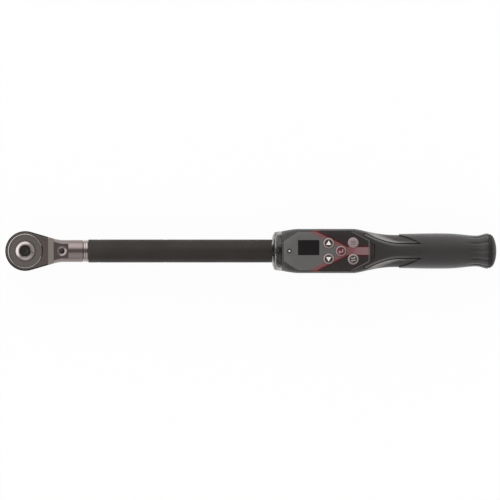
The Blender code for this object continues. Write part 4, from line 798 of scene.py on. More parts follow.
SMOKED_ACRYLIC = finish("smoked_acrylic", (180, 175, 171), (166, 161, 157), (0.06, 0.16), 500.0, 0.002 * MM,
                        Transmission_Weight=1.0, IOR=1.49)
publish("torque_lamp_ring", lens, "wrench", "clear_lens", SMOKED_ACRYLIC, "light_ring", crisp=28.0)
LAMP_COUNT = 12
CHIP_SIZE = (0.7 * MM, 2.4 * MM, 1.8 * MM)
board_x, board_end = span("led_board", 0)
board_rim = span("led_board", 1)[1]
lamp_ring = lathe([
    (LENS_BORE, board_x),
    (board_rim, board_x),
    (board_rim, board_end),
    (LENS_BORE, board_end),
], ALONG)
BLACK_MASK = finish("black_solder_mask", (46, 43, 41), (34, 32, 31), (0.3, 0.45), 1500.0, 0.01 * MM)
publish("lamp_board", lamp_ring, "wrench", "board_green", BLACK_MASK, "led_board", edge=0.1 * MM)
chips = bmesh.new()
seat = Vector((board_x - CHIP_SIZE[0] / 2, 0.0, (LENS_BORE + board_rim) / 2))
shape = Matrix.Diagonal((*CHIP_SIZE, 1))
bmesh.ops.create_cube(chips, size=1.0, matrix=Matrix.Translation(seat) @ shape)
soften(chips, chips.edges[:], 0.15 * MM, 2)
bmesh.ops.spin(chips, geom=chips.verts[:] + chips.edges[:] + chips.faces[:], cent=(0, 0, 0), axis=(1, 0, 0),
               angle=math.tau * (1 - 1 / LAMP_COUNT), steps=LAMP_COUNT - 1, use_duplicate=True)
bmesh.ops.translate(chips, vec=(0, 0, AXIS), verts=chips.verts)
LAMP_CHIP = finish("lamp_chip", (150, 142, 126), (128, 120, 104), (0.25, 0.4), 1200.0, 0.005 * MM)
publish("lamp_chips", chips, "wrench", "board_green", LAMP_CHIP)


# Housing: two black glass-filled nylon shells, split lengthwise and screwed together from below.
# They swell from the light ring to a flat-topped middle, and their tail narrows into the grip.

def blended(first, second, share):
    """Value a share of the way from the first to the second."""
    return first + (second - first) * share


def mirrored(points):
    """Plan outline completed across the wrench's axis."""
    return points + [(x, -y) for x, y in reversed(points)]


def loft(rows, sides=120):
    """Skin over round to squarish sections: (station, half width, height up, height down, squareness)."""
    bm = bmesh.new()
    for x, half, up, down, power in rows:
        ring = bmesh.ops.create_circle(bm, cap_ends=False, radius=1.0, segments=sides)["verts"]
        for vert in ring:
            across, rise = vert.co.x, vert.co.y
            y = math.copysign(abs(across) ** (2 / power), across) * half
            z = math.copysign(abs(rise) ** (2 / power), rise) * (up if rise > 0 else down)
            vert.co = (x, y, AXIS + z)
    bmesh.ops.bridge_loops(bm, edges=bm.edges)
    bmesh.ops.holes_fill(bm, edges=bm.edges)
    bmesh.ops.recalc_face_normals(bm, faces=bm.faces)
    return bm


HOUSING_X = LENS_END + ROOM
BODY_X = HOUSING_X + 14.6 * MM
TAIL_X = BODY_X + 50.0 * MM
TAIL_LENGTH = 40.7 * MM
GRIP_X = TAIL_X + TAIL_LENGTH
WING_LENGTH = 22.0 * MM
WING_STEPS = 16
PANEL_BOTTOM, PANEL_TOP = span("keypad_overlay", 2)
HALF_WIDTH = span("lower_housing", 1)[1]
HOUSING_UP = PANEL_TOP - 1.8 * MM - AXIS
HOUSING_DOWN = 18.5 * MM
BASE = span("lower_housing", 2)[0]
WRIST_RADIUS = 14.4 * MM
TAIL_BORE = 11.8 * MM
SPLIT = AXIS + 3.0 * MM
SQUARENESS = 5.0
WALL = 2.2 * MM
HANDLE_X = span("handle_tube", 0)[0]


def housing_row(x, inset):
    """Section of the housing at one station, pulled in by an inset."""
    end = LENS_RADIUS if x < BODY_X else WRIST_RADIUS
    share = 1.0
    if x < BODY_X:
        share = 1 - (1 - (x - HOUSING_X) / (BODY_X - HOUSING_X)) ** 1.5
    elif x > TAIL_X:
        share = (1 - min(1.0, (x - TAIL_X) / TAIL_LENGTH) ** 1.4) ** 2.7
    sizes = [blended(end, full, share) - inset for full in (HALF_WIDTH, HOUSING_UP, HOUSING_DOWN)]
    return (x, *sizes, blended(2.0, SQUARENESS, share))


def stations(start, end, step):
    """Evenly spaced places from start to end, no further apart than a step."""
    count = math.ceil((end - start) / step)
    return [blended(start, end, number / count) for number in range(count + 1)]


def housing_rows(start, end, inset):
    """Sections of the housing from start to end, with one at each place where its run changes."""
    stops = sorted({start, end, *(x for x in (BODY_X, TAIL_X, GRIP_X) if start < x < end)})
    places = [x for first, last in zip(stops, stops[1:]) for x in stations(first, last, 1.6 * MM)[:-1]]
    return [housing_row(x, inset) for x in places + [end]]


PANEL_LIP = 1.0 * MM
PANEL_X = HOUSING_X + 1.4 * MM
PANEL_END = TAIL_X + 14.5 * MM
PANEL_HALF = 17.6 * MM
PANEL_FRONT_HALF = 8.8 * MM
PANEL_REAR_HALF = 9.6 * MM
PANEL_CORNER_X = TAIL_X - 0.5 * MM


def panel_outline(grow):
    """Eight-sided outline of the panel, grown outward."""
    slant = grow * 0.45
    return mirrored([
        (PANEL_X - grow, PANEL_FRONT_HALF + slant),
        (BODY_X - slant, PANEL_HALF + grow),
        (PANEL_CORNER_X + slant, PANEL_HALF + grow),
        (PANEL_END + grow, PANEL_REAR_HALF + slant),
    ])


TONGUE_X = span("grip", 0)[0] - 1.0 * MM
TONGUE_HALF = 6.4 * MM
TONGUE_SPREAD = 10.9 * MM
TONGUE_CURVE = 1.7
TONGUE_DEPTH = 1.2 * MM
PRONG_X = TAIL_X + 10.0 * MM
PRONG_SPAN = 33.0 * MM
PRONG_GAP = 2.2 * MM
WING_END = GRIP_X + WING_LENGTH
SEAM = 0.9 * MM


def tongue_half(x, most=max):
    """Half width of the grip's tongue, from its two front prongs to the straight run behind the wings.

    Most picks the larger of two values: max for plain numbers, Field.most for a shader's."""
    return most((x - GRIP_X) / -PRONG_SPAN, 0.0) ** TONGUE_CURVE * TONGUE_SPREAD + TONGUE_HALF


def tongue_outline(grow):
    """Tongue in plan: a straight front edge, and a prong on each side along the panel's slanted corner."""
    start, end = Vector((PANEL_CORNER_X, PANEL_HALF)), Vector((PANEL_END, PANEL_REAR_HALF))
    out = (start - end).orthogonal().normalized()
    inner = [start.lerp(end, share) + out * (PRONG_GAP - grow * 0.6) for share in (1.2, 0.9, 0.68)]
    points = [(TONGUE_X - grow, inner[0].y), *((place.x, place.y) for place in inner)]
    points.append((PRONG_X - grow, tongue_half(PRONG_X) - 0.4 * MM))
    for x in stations(PRONG_X + 1.2 * MM, GRIP_X, 2.0 * MM):
        points.append((x, tongue_half(x) + grow))
    points.append((WING_END + 2 * MM, TONGUE_HALF + grow))
    return mirrored(points)


def grip_region(grow):
    """Where the grip lies: a shallow tongue on the tail's back, and all behind the wings' swept edges."""
    reach = 40 * MM
    far = GRIP_X + 120 * MM
    plates = []
    for groove in (grow * 0.6, 0.0):
        wings = []
        for step in range(WING_STEPS, -1, -1):
            share = step / WING_STEPS
            half = blended(WRIST_RADIUS - 0.1 * MM, TONGUE_HALF - MM, share ** 1.6)
            width = groove * min(1.0, max(0.0, (share - 0.35) / 0.2))
            wings.append((GRIP_X + share * WING_LENGTH - width, half))
        wings += [(GRIP_X, reach), (far, reach)]
        plates.append(plate(mirrored(wings), AXIS - reach, AXIS + reach))
    shallow, region = plates
    tongue = plate(tongue_outline(grow), AXIS + 9 * MM, AXIS + reach)
    core = loft(housing_rows(PRONG_X - 3 * MM, far + 10 * MM, TONGUE_DEPTH + grow * 0.2), 96)
    cover = carve(shallow, ("UNION", tongue), ("DIFFERENCE", core))
    return carve(region, ("UNION", cover))


SCREWS = [f"housing_screw_{number}" for number in (1, 2, 3, 4)]
SCREW_POST = 3.6 * MM
SCREW_PLACES = [(sum(span(node, 0)) / 2, sum(span(node, 1)) / 2) for node in SCREWS]


def housing_skin():
    """Outer form of both shells: the swelling loft, the raised panel surround and the ring's seat."""
    surround = plate(panel_outline(PANEL_LIP), SPLIT, PANEL_TOP)
    soften(surround, level_edges(surround, PANEL_TOP), 0.7 * MM)
    seat = bar(LENS_CAVITY - ROOM, HOUSING_X - 1.2 * MM, HOUSING_X + MM)
    joint = bar(LENS_RADIUS - 0.4 * MM, LENS_END + 0.05 * MM, HOUSING_X + 0.5 * MM)
    skin = loft(housing_rows(HOUSING_X, WING_END + MM, 0.0))
    return carve(skin, ("UNION", surround, seat, joint))


def housing_cutters():
    """Room for the works round the screw pillars, bores for the barrel and handle, and the grip's seam."""
    room = loft(housing_rows(HOUSING_X + WALL, HANDLE_X - ROOM, WALL), 96)
    ceiling = span("display_module", 2)[1] + FIT
    pocket = plate(panel_outline(-WALL), AXIS, ceiling)
    pillars = [pillar(SCREW_POST, x, y, AXIS - HOUSING_DOWN, PANEL_TOP) for x, y in SCREW_PLACES]
    room = carve(room, ("UNION", pocket), ("DIFFERENCE", *pillars))
    front = bar(BARREL_RADIUS + ROOM, LENS_X, HANDLE_X)
    rear = bar(TAIL_BORE, HANDLE_X - 0.5 * MM, WING_END + 9 * MM)
    return [room, front, rear, grip_region(SEAM)]


FAR = 0.1


def shell(low, high, holes):
    """One half of the housing, between two heights, with its own holes."""
    side = block((LENS_X, -FAR, low), (GRIP_X + FAR, FAR, high))
    return carve(housing_skin(), ("DIFFERENCE", *housing_cutters(), *holes), ("INTERSECT", side))


RAIL_WIDTH = (6.0 * MM, 2.0 * MM)
LIP_RED_X = 261.6 * MM
LIP_RED_HALF = 4.6 * MM
END_LINE_X = TONGUE_X - 1.4 * MM
END_LINE_HALF = 10.6 * MM


def rail_highlights_and_lip_print(look):
    """Painted highlights along the rails beside the grip's tongue, on their upper side, and the panel's red
    stripes carried over its surround.
    """
    coat = Coat(look)
    beyond = abs(coat.y) - (tongue_half(coat.x, Field.most) + SEAM)
    width = coat.x.ramp(PRONG_X + 8 * MM, GRIP_X, *RAIL_WIDTH)
    rail = beyond.ramp(width, 0.2 * MM) * beyond.ramp(-0.3 * MM, 0.1 * MM)
    rail *= coat.x.ramp(PRONG_X - 2 * MM, TONGUE_X)
    rail *= coat.x.ramp(GRIP_X - 9 * MM, GRIP_X + 8 * MM, 1.0, 0.15)
    # Painted highlight: the rails are laid pale on top, where they would catch the light.
    coat.lay(rail * coat.z.ramp(AXIS + 3 * MM, AXIS + 6 * MM), (164, 160, 157))
    red = abs(coat.x - LIP_RED_X).ramp(LIP_RED_HALF, LIP_RED_HALF - 1.6 * MM)
    coat.lay(red * coat.z.ramp(PANEL_TOP - 1.1 * MM, PANEL_TOP - 0.8 * MM), (106, 54, 54))
    line = abs(coat.x - END_LINE_X).ramp(1.0 * MM, 0.6 * MM)
    line *= abs(coat.y).ramp(END_LINE_HALF, END_LINE_HALF - 0.4 * MM)
    coat.lay(line * coat.z.ramp(AXIS + 8 * MM, AXIS + 9 * MM), (76, 55, 54))


KEYS = ("up", "down", "enter", "menu", "units")
KEY_PLACES = {label: [sum(span("key_" + label, axis)) / 2 for axis in (0, 1)] for label in KEYS}
KEY_RADIUS = 4.9 * MM
STATUS_X = sum(span("status_led", 0)) / 2
STATUS_RADIUS = 1.1 * MM


def panel_holes(low, lamp_room, steps):
    """Drills for the keys and the status lamp, from a height up through the panel."""
    high = PANEL_TOP + MM
    holes = [pillar(KEY_RADIUS + ROOM, x, y, low, high, steps) for x, y in KEY_PLACES.values()]
    return holes + [pillar(STATUS_RADIUS + lamp_room, STATUS_X, 0.0, low, high, 32)]


recess = plate(panel_outline(FIT), PANEL_BOTTOM - FIT, PANEL_TOP + MM)
window_low, window_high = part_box("display_window")
sight = Vector((0.8 * MM, 0.8 * MM, 0.0))
deep, clear = Vector((0, 0, 4 * MM)), Vector((0, 0, MM))
opening = block(window_low + sight - deep, window_high - sight + clear)
upper = shell(SPLIT + FIT, AXIS + FAR, [recess, opening, *panel_holes(AXIS + 11 * MM, ROOM, 48)])
BLACK_NYLON = finish("black_nylon", (52, 49, 48), (45, 42, 41), (0.42, 0.54), 2400.0, 0.03 * MM,
                     smudge=50.0, Specular_IOR_Level=0.35, Sheen_Weight=0.12)
# Painted rail highlights and the red lip print on the nylon.
rail_highlights_and_lip_print(BLACK_NYLON)
publish("upper_shell", upper, "wrench", "black_housing", BLACK_NYLON, "upper_housing", crisp=30.0)
SCREW_SINK = 1.6 * MM
SINK_RADIUS = 2.8 * MM
SCREW_HOLE = 1.7 * MM
SCREW_SHANK = 1.4 * MM
SCREW_HEAD = 2.5 * MM
HEX_RADIUS = 1.25 * MM
sinks = [pillar(SINK_RADIUS, x, y, BASE - MM, BASE + 3.0 * MM + SCREW_SINK) for x, y in SCREW_PLACES]
sinks += [pillar(SCREW_HOLE, x, y, BASE - MM, SPLIT + MM) for x, y in SCREW_PLACES]
lower = shell(BASE, SPLIT - FIT, sinks)
publish("lower_shell", lower, "wrench", "black_housing", BLACK_NYLON, "lower_housing", crisp=30.0)
SCREW_STEEL = finish("blacked_screw", (84, 80, 78), (60, 57, 55), (0.3, 0.45), 2000.0, 0.004 * MM,
                     Metallic=0.9)
for node, (x, y) in zip(SCREWS, SCREW_PLACES):
    low, high = span(node, 2)
    low += SCREW_SINK
    under = low + 2.2 * MM
    screw = lathe([
        (0, high),
        (0.9 * MM, high),
        (SCREW_SHANK, high - 0.6 * MM),
        (SCREW_SHANK, under),
        (SCREW_HEAD, under),
        (SCREW_HEAD, low + 0.5 * MM),
        (2.0 * MM, low),
        (0, low),
    ], Matrix.Translation((x, y, 0)), 48)
    key = pillar(HEX_RADIUS, x, y, low - MM, low + 1.2 * MM, 6)
    screw = carve(screw, ("DIFFERENCE", key))
    publish(node.replace("housing", "shell"), screw, "wrench", "tool_steel", SCREW_STEEL, node)


# Electronics: a fibreglass board with tact switches, the display module and a buzzer, hung from the
# upper shell on two screws. All of it is closed in, and shows only through the window.

BLACK_MOULDING = finish("black_moulding", (44, 43, 43), (34, 33, 33), (0.45, 0.6), 1800.0, 0.012 * MM)
SOLDER_MASK = finish("solder_mask", (38, 62, 46), (24, 44, 32), (0.3, 0.45), 1500.0, 0.01 * MM)
dress(SOLDER_MASK, "main_board")
dress(BLACK_MOULDING, "display_module", "buzzer", *(f"switch_{label}" for label in KEYS))
dress(SCREW_STEEL, "board_screw_1", "board_screw_2")


# Keypad panel: a polycarbonate overlay, printed behind in grey, red and black, glued in the recess.
# A dark acrylic window covers the display, and a small clear lens marks the state of charge.

STRIPE_START = LIP_RED_X
STRIPE_SLOPE = 0.5
STRIPE_OUTER = 17.6 * MM
STRIPE_FADE = 5.2 * MM
BAND_HALF = 3.4 * MM
BAND_RUN = (288 * MM, 306 * MM)
BORDER_WIDTH = 2.6 * MM
REAR_HIGHLIGHT = 0.7 * MM
REAR_SLANT = 0.533


def panel_print_and_highlight():
    """Grey field, two red stripes that meet in a band, black corners, and a pale line along the rear edges
    that is a painted highlight, all in plan.
    """
    look = finish("panel_print_and_highlight", (97, 96, 95), (93, 92, 91), (0.32, 0.4), 3000.0, 0.006 * MM,
                  Specular_IOR_Level=0.3)
    coat = Coat(look)
    soft = 0.2 * MM
    out = abs(coat.y)
    slope = out + (coat.x - STRIPE_START) * STRIPE_SLOPE - STRIPE_OUTER
    beside = out - BAND_HALF
    depth = slope.least(beside)
    band = coat.x.ramp(*BAND_RUN).mix((130, 78, 80), (132, 104, 104))
    corner = depth.ramp(BORDER_WIDTH / 2, BORDER_WIDTH).mix((64, 24, 27), (44, 40, 39))
    coat.lay(slope.ramp(-STRIPE_FADE, -0.6 * MM), (124, 72, 74))
    coat.lay(slope.ramp(-soft, soft), beside.ramp(-soft, soft).mix(band, corner))
    # Painted highlight: a pale line just inside the slanted rear edges and the end, where the lip would
    # catch the light.
    past = out + (coat.x - PANEL_CORNER_X) * REAR_SLANT - PANEL_HALF
    past = past.most(coat.x - PANEL_END)
    coat.lay(abs(past + REAR_HIGHLIGHT).ramp(0.8 * MM, 0.2 * MM), (96, 91, 89))
    collar = STATUS_RADIUS + 1.1 * MM
    coat.lay(coat.away(STATUS_X, 0.0).ramp(collar, collar - 0.3 * MM), (40, 37, 37))
    return look


overlay = plate(panel_outline(0.0), PANEL_BOTTOM, PANEL_TOP)
soften(overlay, level_edges(overlay, PANEL_TOP), 0.25 * MM, 2)
fit = Vector((FIT, FIT, MM))
opening = block(window_low - fit, window_high + fit)
overlay = carve(overlay, ("DIFFERENCE", opening, *panel_holes(PANEL_BOTTOM - MM, FIT, 72)))
publish("printed_overlay", overlay, "wrench", "printed_panel", panel_print_and_highlight(), "keypad_overlay")
window = block(window_low, window_high)
soften(window, upright_edges(window), 0.6 * MM)
SCREEN = finish("screen_acrylic", (26, 22, 23), (20, 17, 18), (0.06, 0.1), 5000.0, 0.001 * MM,
                (1.0, 0.02, 1.0))
publish("screen_window", window, "wrench", "screen_glass", SCREEN, "display_window", edge=0.15 * MM)
low, high = span("status_led", 2)
status = lathe([
    (0, high),
    (0.6 * MM, high - 0.1 * MM),
    (STATUS_RADIUS, high - 0.5 * MM),
    (STATUS_RADIUS, low),
    (0, low),
], Matrix.Translation((STATUS_X, 0, 0)), 40)
LAMP_LENS = finish("lamp_lens", (222, 220, 216), (200, 198, 194), (0.1, 0.2), 900.0, 0.002 * MM)
publish("status_lamp", status, "wrench", "clear_lens", LAMP_LENS, "status_led")


# Keys: five domed silicone caps that press on the switches through the panel. Each cap is printed with
# a pale ring round a dark or red face, and carries a raised sign in its middle.

KEY_TOP = span("key_up", 2)[1] - 0.06 * MM
KEY_BOTTOM = span("key_up", 2)[0]
KEY_FOOT = KEY_RADIUS + 0.9 * MM
KEY_FOOT_TOP = KEY_BOTTOM + 0.6 * MM
SIGN_HEIGHT = 0.3 * MM


def key_look(label, face, rim, face_radius, rim_radius):
    """Silicone with a printed face and a ring round it, centred on one key, with a painted highlight that
    makes it paler towards its upper side.
    """
    look = finish("key_print_" + label, rim, rim, (0.4, 0.5), 2600.0, 0.01 * MM)
    coat = Coat(look)
    soft = 0.12 * MM
    x, y = KEY_PLACES[label]
    out = coat.away(x, y)
    # Painted highlight: the key is laid paler towards its upper side, where the light falls.
    coat.lay((coat.y - y).ramp(-rim_radius, rim_radius, 0.0, 0.3), (208, 196, 192))
    coat.lay(out.ramp(face_radius, rim_radius - 0.4 * MM, 0.45, 0.0), face)
    coat.lay(out.ramp(face_radius + soft, face_radius - soft), face)
    coat.lay(out.ramp(rim_radius - soft, rim_radius + soft), (58, 52, 51))
    return look


def strokes(*bars):
    """Signs drawn with straight strokes: (x, y, length, width, turn in degrees) about the key's middle."""
    bm = bmesh.new()
    for x, y, length, width, turn in bars:
        place = Matrix.Translation((x * MM, y * MM, 0)) @ Matrix.Rotation(math.radians(turn), 4, "Z")
        shape = Matrix.Diagonal((length * MM, width * MM, SIGN_HEIGHT, 1))
        bmesh.ops.create_cube(bm, size=1.0, matrix=place @ shape)
    return bm


def pointer(turn, shift):
    """Three-cornered arrow head, shifted up or down the key."""
    bm = bmesh.new()
    spin = Matrix.Rotation(math.radians(turn), 4, "Z")
    verts = bmesh.ops.create_circle(bm, cap_ends=True, segments=3, radius=2.7 * MM, matrix=spin)["verts"]
    thicken(bm, verts[0].link_faces[0], SIGN_HEIGHT)
    bmesh.ops.translate(bm, vec=(0, shift * MM, -SIGN_HEIGHT / 2), verts=bm.verts)
    return bm


DARK_FACE = (38, 31, 29)
PALE_RING = (142, 127, 123)
KEY_PRINTS = {
    "up": (DARK_FACE, PALE_RING, 3.4 * MM, 4.8 * MM),
    "down": (DARK_FACE, PALE_RING, 3.4 * MM, 4.8 * MM),
    "enter": ((78, 30, 35), (150, 112, 114), 3.5 * MM, 4.7 * MM),
    "menu": ((148, 130, 132), (130, 106, 108), 2.9 * MM, 4.8 * MM),
    "units": ((60, 50, 48), PALE_RING, 3.3 * MM, 4.8 * MM),
}
signs = {
    "up": pointer(0.0, -0.2),
    "down": pointer(180.0, 0.2),
    "enter": strokes((-0.3, -0.9, 3.6, 0.8, 0), (1.5, 0.3, 2.6, 0.8, 90), (-1.5, -0.3, 1.8, 0.8, 45),
                     (-1.5, -1.5, 1.8, 0.8, -45)),
    "menu": strokes((0, 1.4, 4.2, 0.7, 0), (0, 0, 4.2, 0.7, 0), (0, -1.4, 4.2, 0.7, 0)),
    "units": strokes((-0.5, 0.9, 3.2, 0.7, 0), (1.2, 1.4, 1.5, 0.7, -45), (0.5, -0.9, 3.2, 0.7, 0),
                     (-1.2, -1.4, 1.5, 0.7, -45)),
}
PALE_INK, PINK_INK, DARK_INK, GREY_INK = [
    finish(name, pale, deep, (0.4, 0.5), 2000.0, 0.004 * MM) for name, pale, deep in (
        ("sign_ink", (244, 235, 231), (232, 222, 218)),
        ("sign_ink_pink", (196, 152, 154), (182, 138, 140)),
        ("sign_ink_dark", (112, 98, 99), (100, 87, 88)),
        ("sign_ink_grey", (182, 176, 172), (168, 162, 158)),
    )
]
sign_inks = dict(zip(KEYS, (PALE_INK, PALE_INK, PINK_INK, DARK_INK, GREY_INK)))
for label in KEYS:
    x, y = KEY_PLACES[label]
    node = "key_" + label
    cap = lathe([
        (0.0, KEY_TOP),
        (KEY_RADIUS * 0.4, KEY_TOP - 0.02 * MM),
        (KEY_RADIUS * 0.7, KEY_TOP - 0.08 * MM),
        (KEY_RADIUS * 0.88, KEY_TOP - 0.16 * MM),
        (KEY_RADIUS * 0.96, KEY_TOP - 0.28 * MM),
        (KEY_RADIUS, KEY_TOP - 0.5 * MM),
        (KEY_RADIUS, KEY_FOOT_TOP),
        (KEY_FOOT, KEY_FOOT_TOP),
        (KEY_FOOT, KEY_BOTTOM),
        (0.0, KEY_BOTTOM),
    ], Matrix.Translation((x, y, 0)), 72)
    publish(node + "_cap", cap, node + "_body", "key_grey", key_look(label, *KEY_PRINTS[label]), node)
    sign = signs[label]
    bmesh.ops.translate(sign, vec=(x, y, KEY_TOP - 0.09 * MM), verts=sign.verts)
    publish(node + "_sign", sign, node + "_body", "key_grey", sign_inks[label])


# Handle core: a steel joint and tube carry the hand's load, with the battery between a contact plate
# and a spring. They stay out of sight inside the shells, the grip and the cap.

BATTERY_WRAP = finish("battery_wrap", (52, 84, 60), (40, 68, 48), (0.3, 0.42), 1400.0, 0.004 * MM)
dress(GROUND_STEEL, "handle_joint", "handle_tube", "handle_pin", "battery_contact", "battery_spring")
dress(BATTERY_WRAP, "battery")


# Grip: soft black rubber moulded over the tail, with a tongue along its back, a belly, a waist and a
# flared end with shallow flutes. It is bonded to the handle tube.

GRIP_END = span("grip", 0)[1]
GRIP_STEP = 1.0 * MM
GRIP_BELLY = 15.9 * MM
GRIP_WAIST = 13.9 * MM
GRIP_FLARE = 15.9 * MM
BELLY_AT = 0.41
WAIST_AT = 0.862
FLARE_AT = 0.99
FLUTES = 12
FLUTE_DEPTH = 0.9 * MM
FLUTE_RUN = 21.0 * MM


def eased(share):
    """Smooth start and stop between 0 and 1."""
    return (1 - math.cos(math.pi * share)) / 2


def grip_radius(share):
    """Radius of the sleeve from the wrist at 0 to its end at 1."""
    if share < BELLY_AT:
        return blended(WRIST_RADIUS + GRIP_STEP, GRIP_BELLY, eased((share / BELLY_AT) ** 0.8))
    if share < WAIST_AT:
        past = (share - BELLY_AT) / (WAIST_AT - BELLY_AT)
        return blended(GRIP_BELLY, GRIP_WAIST, eased(past ** 1.6))
    if share < FLARE_AT:
        past = (share - WAIST_AT) / (FLARE_AT - WAIST_AT)
        return blended(GRIP_WAIST, GRIP_FLARE, eased(past ** 1.1))
    return blended(GRIP_FLARE, GRIP_FLARE - 0.2 * MM, (share - FLARE_AT) / (1 - FLARE_AT))


rows = housing_rows(PRONG_X - 2 * MM, GRIP_X, -GRIP_STEP)
for x in stations(GRIP_X, GRIP_END, 1.4 * MM)[1:]:
    radius = grip_radius((x - GRIP_X) / (GRIP_END - GRIP_X))
    rows.append((x, radius, radius, radius, 2.0))
sleeve = loft(rows, 144)
for vert in sleeve.verts:
    share = (vert.co.x - GRIP_END + FLUTE_RUN) / FLUTE_RUN
    if 0 < share:
        angle = math.atan2(vert.co.z - AXIS, vert.co.y)
        dip = FLUTE_DEPTH * eased(min(1.0, 2 * share)) * max(0.0, math.cos(FLUTES * angle)) ** 2
        dip *= min(1.0, 1.6 * abs(math.sin(angle)))
        out = Vector((0, vert.co.y, vert.co.z - AXIS)).normalized()
        vert.co -= out * dip
sleeve = carve(sleeve, ("INTERSECT", grip_region(0.0)),
               ("DIFFERENCE", bar(TAIL_BORE, HANDLE_X - MM, GRIP_END + MM)))


def painted_tongue_light(look):
    """Painted highlights along the tongue's edges and painted shade down its middle, on its top."""
    coat = Coat(look)
    beyond = abs(coat.y) - tongue_half(coat.x, Field.most)
    above = coat.z.ramp(AXIS + 5 * MM, AXIS + 7 * MM)
    # Painted shade: the tongue's middle is laid darker on top, fading out behind the wings.
    spine = beyond.ramp(-1.8 * MM, -3.2 * MM) * above
    coat.lay(spine * coat.x.ramp(WING_END + 10 * MM, WING_END - 5 * MM), (35, 32, 30))
    # Painted highlight: a pale band just inside the tongue's edges, fading out towards the wings' end.
    ridge = beyond.ramp(0.2 * MM, -0.2 * MM) * beyond.ramp(-2.2 * MM, -1.2 * MM) * above
    coat.lay(ridge * coat.x.ramp(TONGUE_X, WING_END - 4 * MM, 1.0, 0.0), (104, 100, 97))


GRIP_RUBBER = finish("grip_rubber", (45, 41, 40), (39, 35, 34), (0.5, 0.62), 1300.0, 0.05 * MM, smudge=40.0,
                     Specular_IOR_Level=0.35, Sheen_Weight=0.5)
# Painted highlights and shade along the tongue.
painted_tongue_light(GRIP_RUBBER)
publish("grip_sleeve", sleeve, "wrench", "grip_rubber", GRIP_RUBBER, "grip", crisp=30.0)


# End cap: a moulded black nylon dome that screws into the handle tube and holds the battery in.
# A rubber ring in its plug's groove keeps out oil and dust.

CAP_RADIUS = span("end_cap", 1)[1]
CAP_X = GRIP_END + 0.12 * MM
PLUG_FRONT, CAP_END = span("end_cap", 0)
PLUG_RADIUS = 9.3 * MM
SEAL_FLOOR = PLUG_RADIUS - 1.75 * MM
SEAL_HALF = 0.95 * MM
SEAL_X = sum(span("end_cap_seal", 0)) / 2
DOME_X = CAP_X + 0.8 * MM
DOME_STEPS = 24
RING_LINE = (19, 0.35 * MM)
dome = []
for step in range(1, DOME_STEPS + 1):
    angle = math.pi / 2 * step / DOME_STEPS
    sunk = RING_LINE[1] if step == RING_LINE[0] else 0.0
    height = DOME_X + (CAP_END - DOME_X) * math.cos(angle)
    dome.append((CAP_RADIUS * math.sin(angle) - sunk, height - sunk))
cap = lathe([
    (0.0, CAP_END),
    *dome,
    (CAP_RADIUS, CAP_X + 0.15 * MM),
    (CAP_RADIUS - 0.15 * MM, CAP_X),
    (PLUG_RADIUS, CAP_X),
    (PLUG_RADIUS, SEAL_X + SEAL_HALF),
    (SEAL_FLOOR, SEAL_X + SEAL_HALF),
    (SEAL_FLOOR, SEAL_X - SEAL_HALF),
    (PLUG_RADIUS, SEAL_X - SEAL_HALF),
    (PLUG_RADIUS, PLUG_FRONT + 0.4 * MM),
    (PLUG_RADIUS - 0.4 * MM, PLUG_FRONT),
    (0.0, PLUG_FRONT),
], ALONG, 144)
CAP_NYLON = finish("cap_nylon", (41, 38, 37), (35, 32, 31), (0.45, 0.56), 2400.0, 0.03 * MM, smudge=50.0,
                   Specular_IOR_Level=0.3)
publish("battery_cap", cap, "cap", "black_housing", CAP_NYLON, "end_cap", crisp=40.0)
dress(GRIP_RUBBER, "end_cap_seal")


# Studio: a white table under the wrench and a tent of soft light, with a dark patch overhead where the
# camera stands and broad soft boxes beyond the head, behind the barrel and in front of it.

GLOW_SHARE = 0.94


def backdrop(name, shade):
    """White surface that stays white to the camera, keeps a faint shadow and is clear from below."""
    look = bpy.data.materials.new(name)
    look.use_nodes = True
    tree = look.node_tree
    shader = tree.nodes["Principled BSDF"]
    shader.inputs["Base Color"].default_value = ink(shade)
    shader.inputs["Roughness"].default_value = 0.9
    path = add(tree, "LightPath").outputs
    seen = Field(path["Is Camera Ray"]).most(path["Is Glossy Ray"]).most(path["Is Transmission Ray"])
    glow = add(tree, "Emission", {"Color": (1, 1, 1, 1), "Strength": 1.0})
    blend = add(tree, "MixShader", {0: seen * GLOW_SHARE, 1: shader.outputs[0], 2: glow.outputs[0]})
    below = Field(add(tree, "NewGeometry").outputs["Backfacing"]) * path["Is Camera Ray"]
    clear = add(tree, "BsdfTransparent")
    surface = add(tree, "MixShader", {0: below, 1: blend.outputs[0], 2: clear.outputs[0]})
    tree.links.new(surface.outputs[0], tree.nodes["Material Output"].inputs["Surface"])
    return look


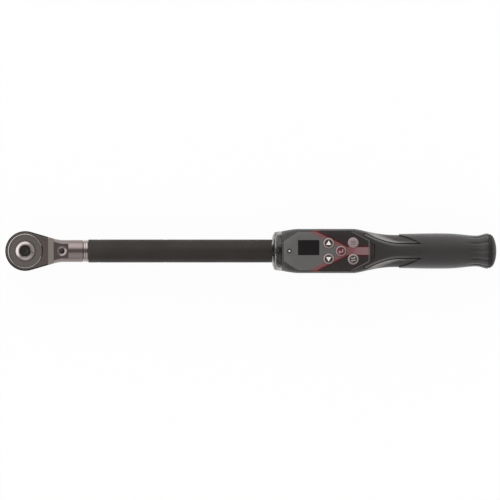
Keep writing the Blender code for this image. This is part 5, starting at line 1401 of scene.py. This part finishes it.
def softbox(ray, aim, edge, heart, strength):
    """Round patch of light: none where a ray's cosine to the aim is under edge, full from heart on."""
    facing = add(ray.id_data, "VectorMath", {0: ray, 1: Vector(aim).normalized()}, operation="DOT_PRODUCT")
    return Field(facing.outputs["Value"]).ramp(edge, heart, 0.0, strength)


TABLE_HALF = 12.0
table = bmesh.new()
bmesh.ops.create_grid(table, x_segments=1, y_segments=1, size=TABLE_HALF)
mesh = bpy.data.meshes.new("table")
table.to_mesh(mesh)
table.free()
mesh.materials.append(backdrop("white_table", (250, 250, 250)))
table_top = bpy.data.objects.new("table", mesh)
bpy.context.scene.collection.objects.link(table_top)

world = bpy.data.worlds.new("studio")
bpy.context.scene.world = world
world.use_nodes = True
tree = world.node_tree
ray = add(tree, "TexCoord").outputs["Generated"]
rise = Field(add(tree, "SeparateXYZ", {0: ray}).outputs["Z"])
PATCH_RISE = (0.985, 0.86)
TENT_LIGHT = (0.2, 0.58)
SOFT_BOXES = (
    ((-0.2, 0.9, 0.4), 0.7, 0.93, 1.15),
    ((-0.86, 0.05, 0.5), 0.7, 0.93, 1.4),
    ((0.15, -0.7, 0.7), 0.78, 0.95, 0.3),
)
light = rise.ramp(*PATCH_RISE, *TENT_LIGHT)
for box in SOFT_BOXES:
    light += softbox(ray, *box)
light = Field(add(tree, "LightPath").outputs["Is Camera Ray"]).ramp(0.0, 1.0, light, 1.0)
background = tree.nodes["Background"].inputs
background["Color"].default_value = (1.0, 1.0, 1.0, 1.0)
tree.links.new(light.socket, background["Strength"])

FRAME_WIDTH = 450 * MM
FRAME_CENTRE = (202.2 * MM, 0.9 * MM)
CAMERA_HEIGHT = 12.0
eye = bpy.data.cameras.new("camera")
eye.sensor_width = 36.0
eye.lens = eye.sensor_width * CAMERA_HEIGHT / FRAME_WIDTH
eye.clip_end = 100.0
camera = bpy.data.objects.new("camera", eye)
camera.location = (*FRAME_CENTRE, AXIS + CAMERA_HEIGHT)
bpy.context.scene.collection.objects.link(camera)
bpy.context.scene.camera = camera
bpy.context.scene.view_settings.view_transform = "Standard"
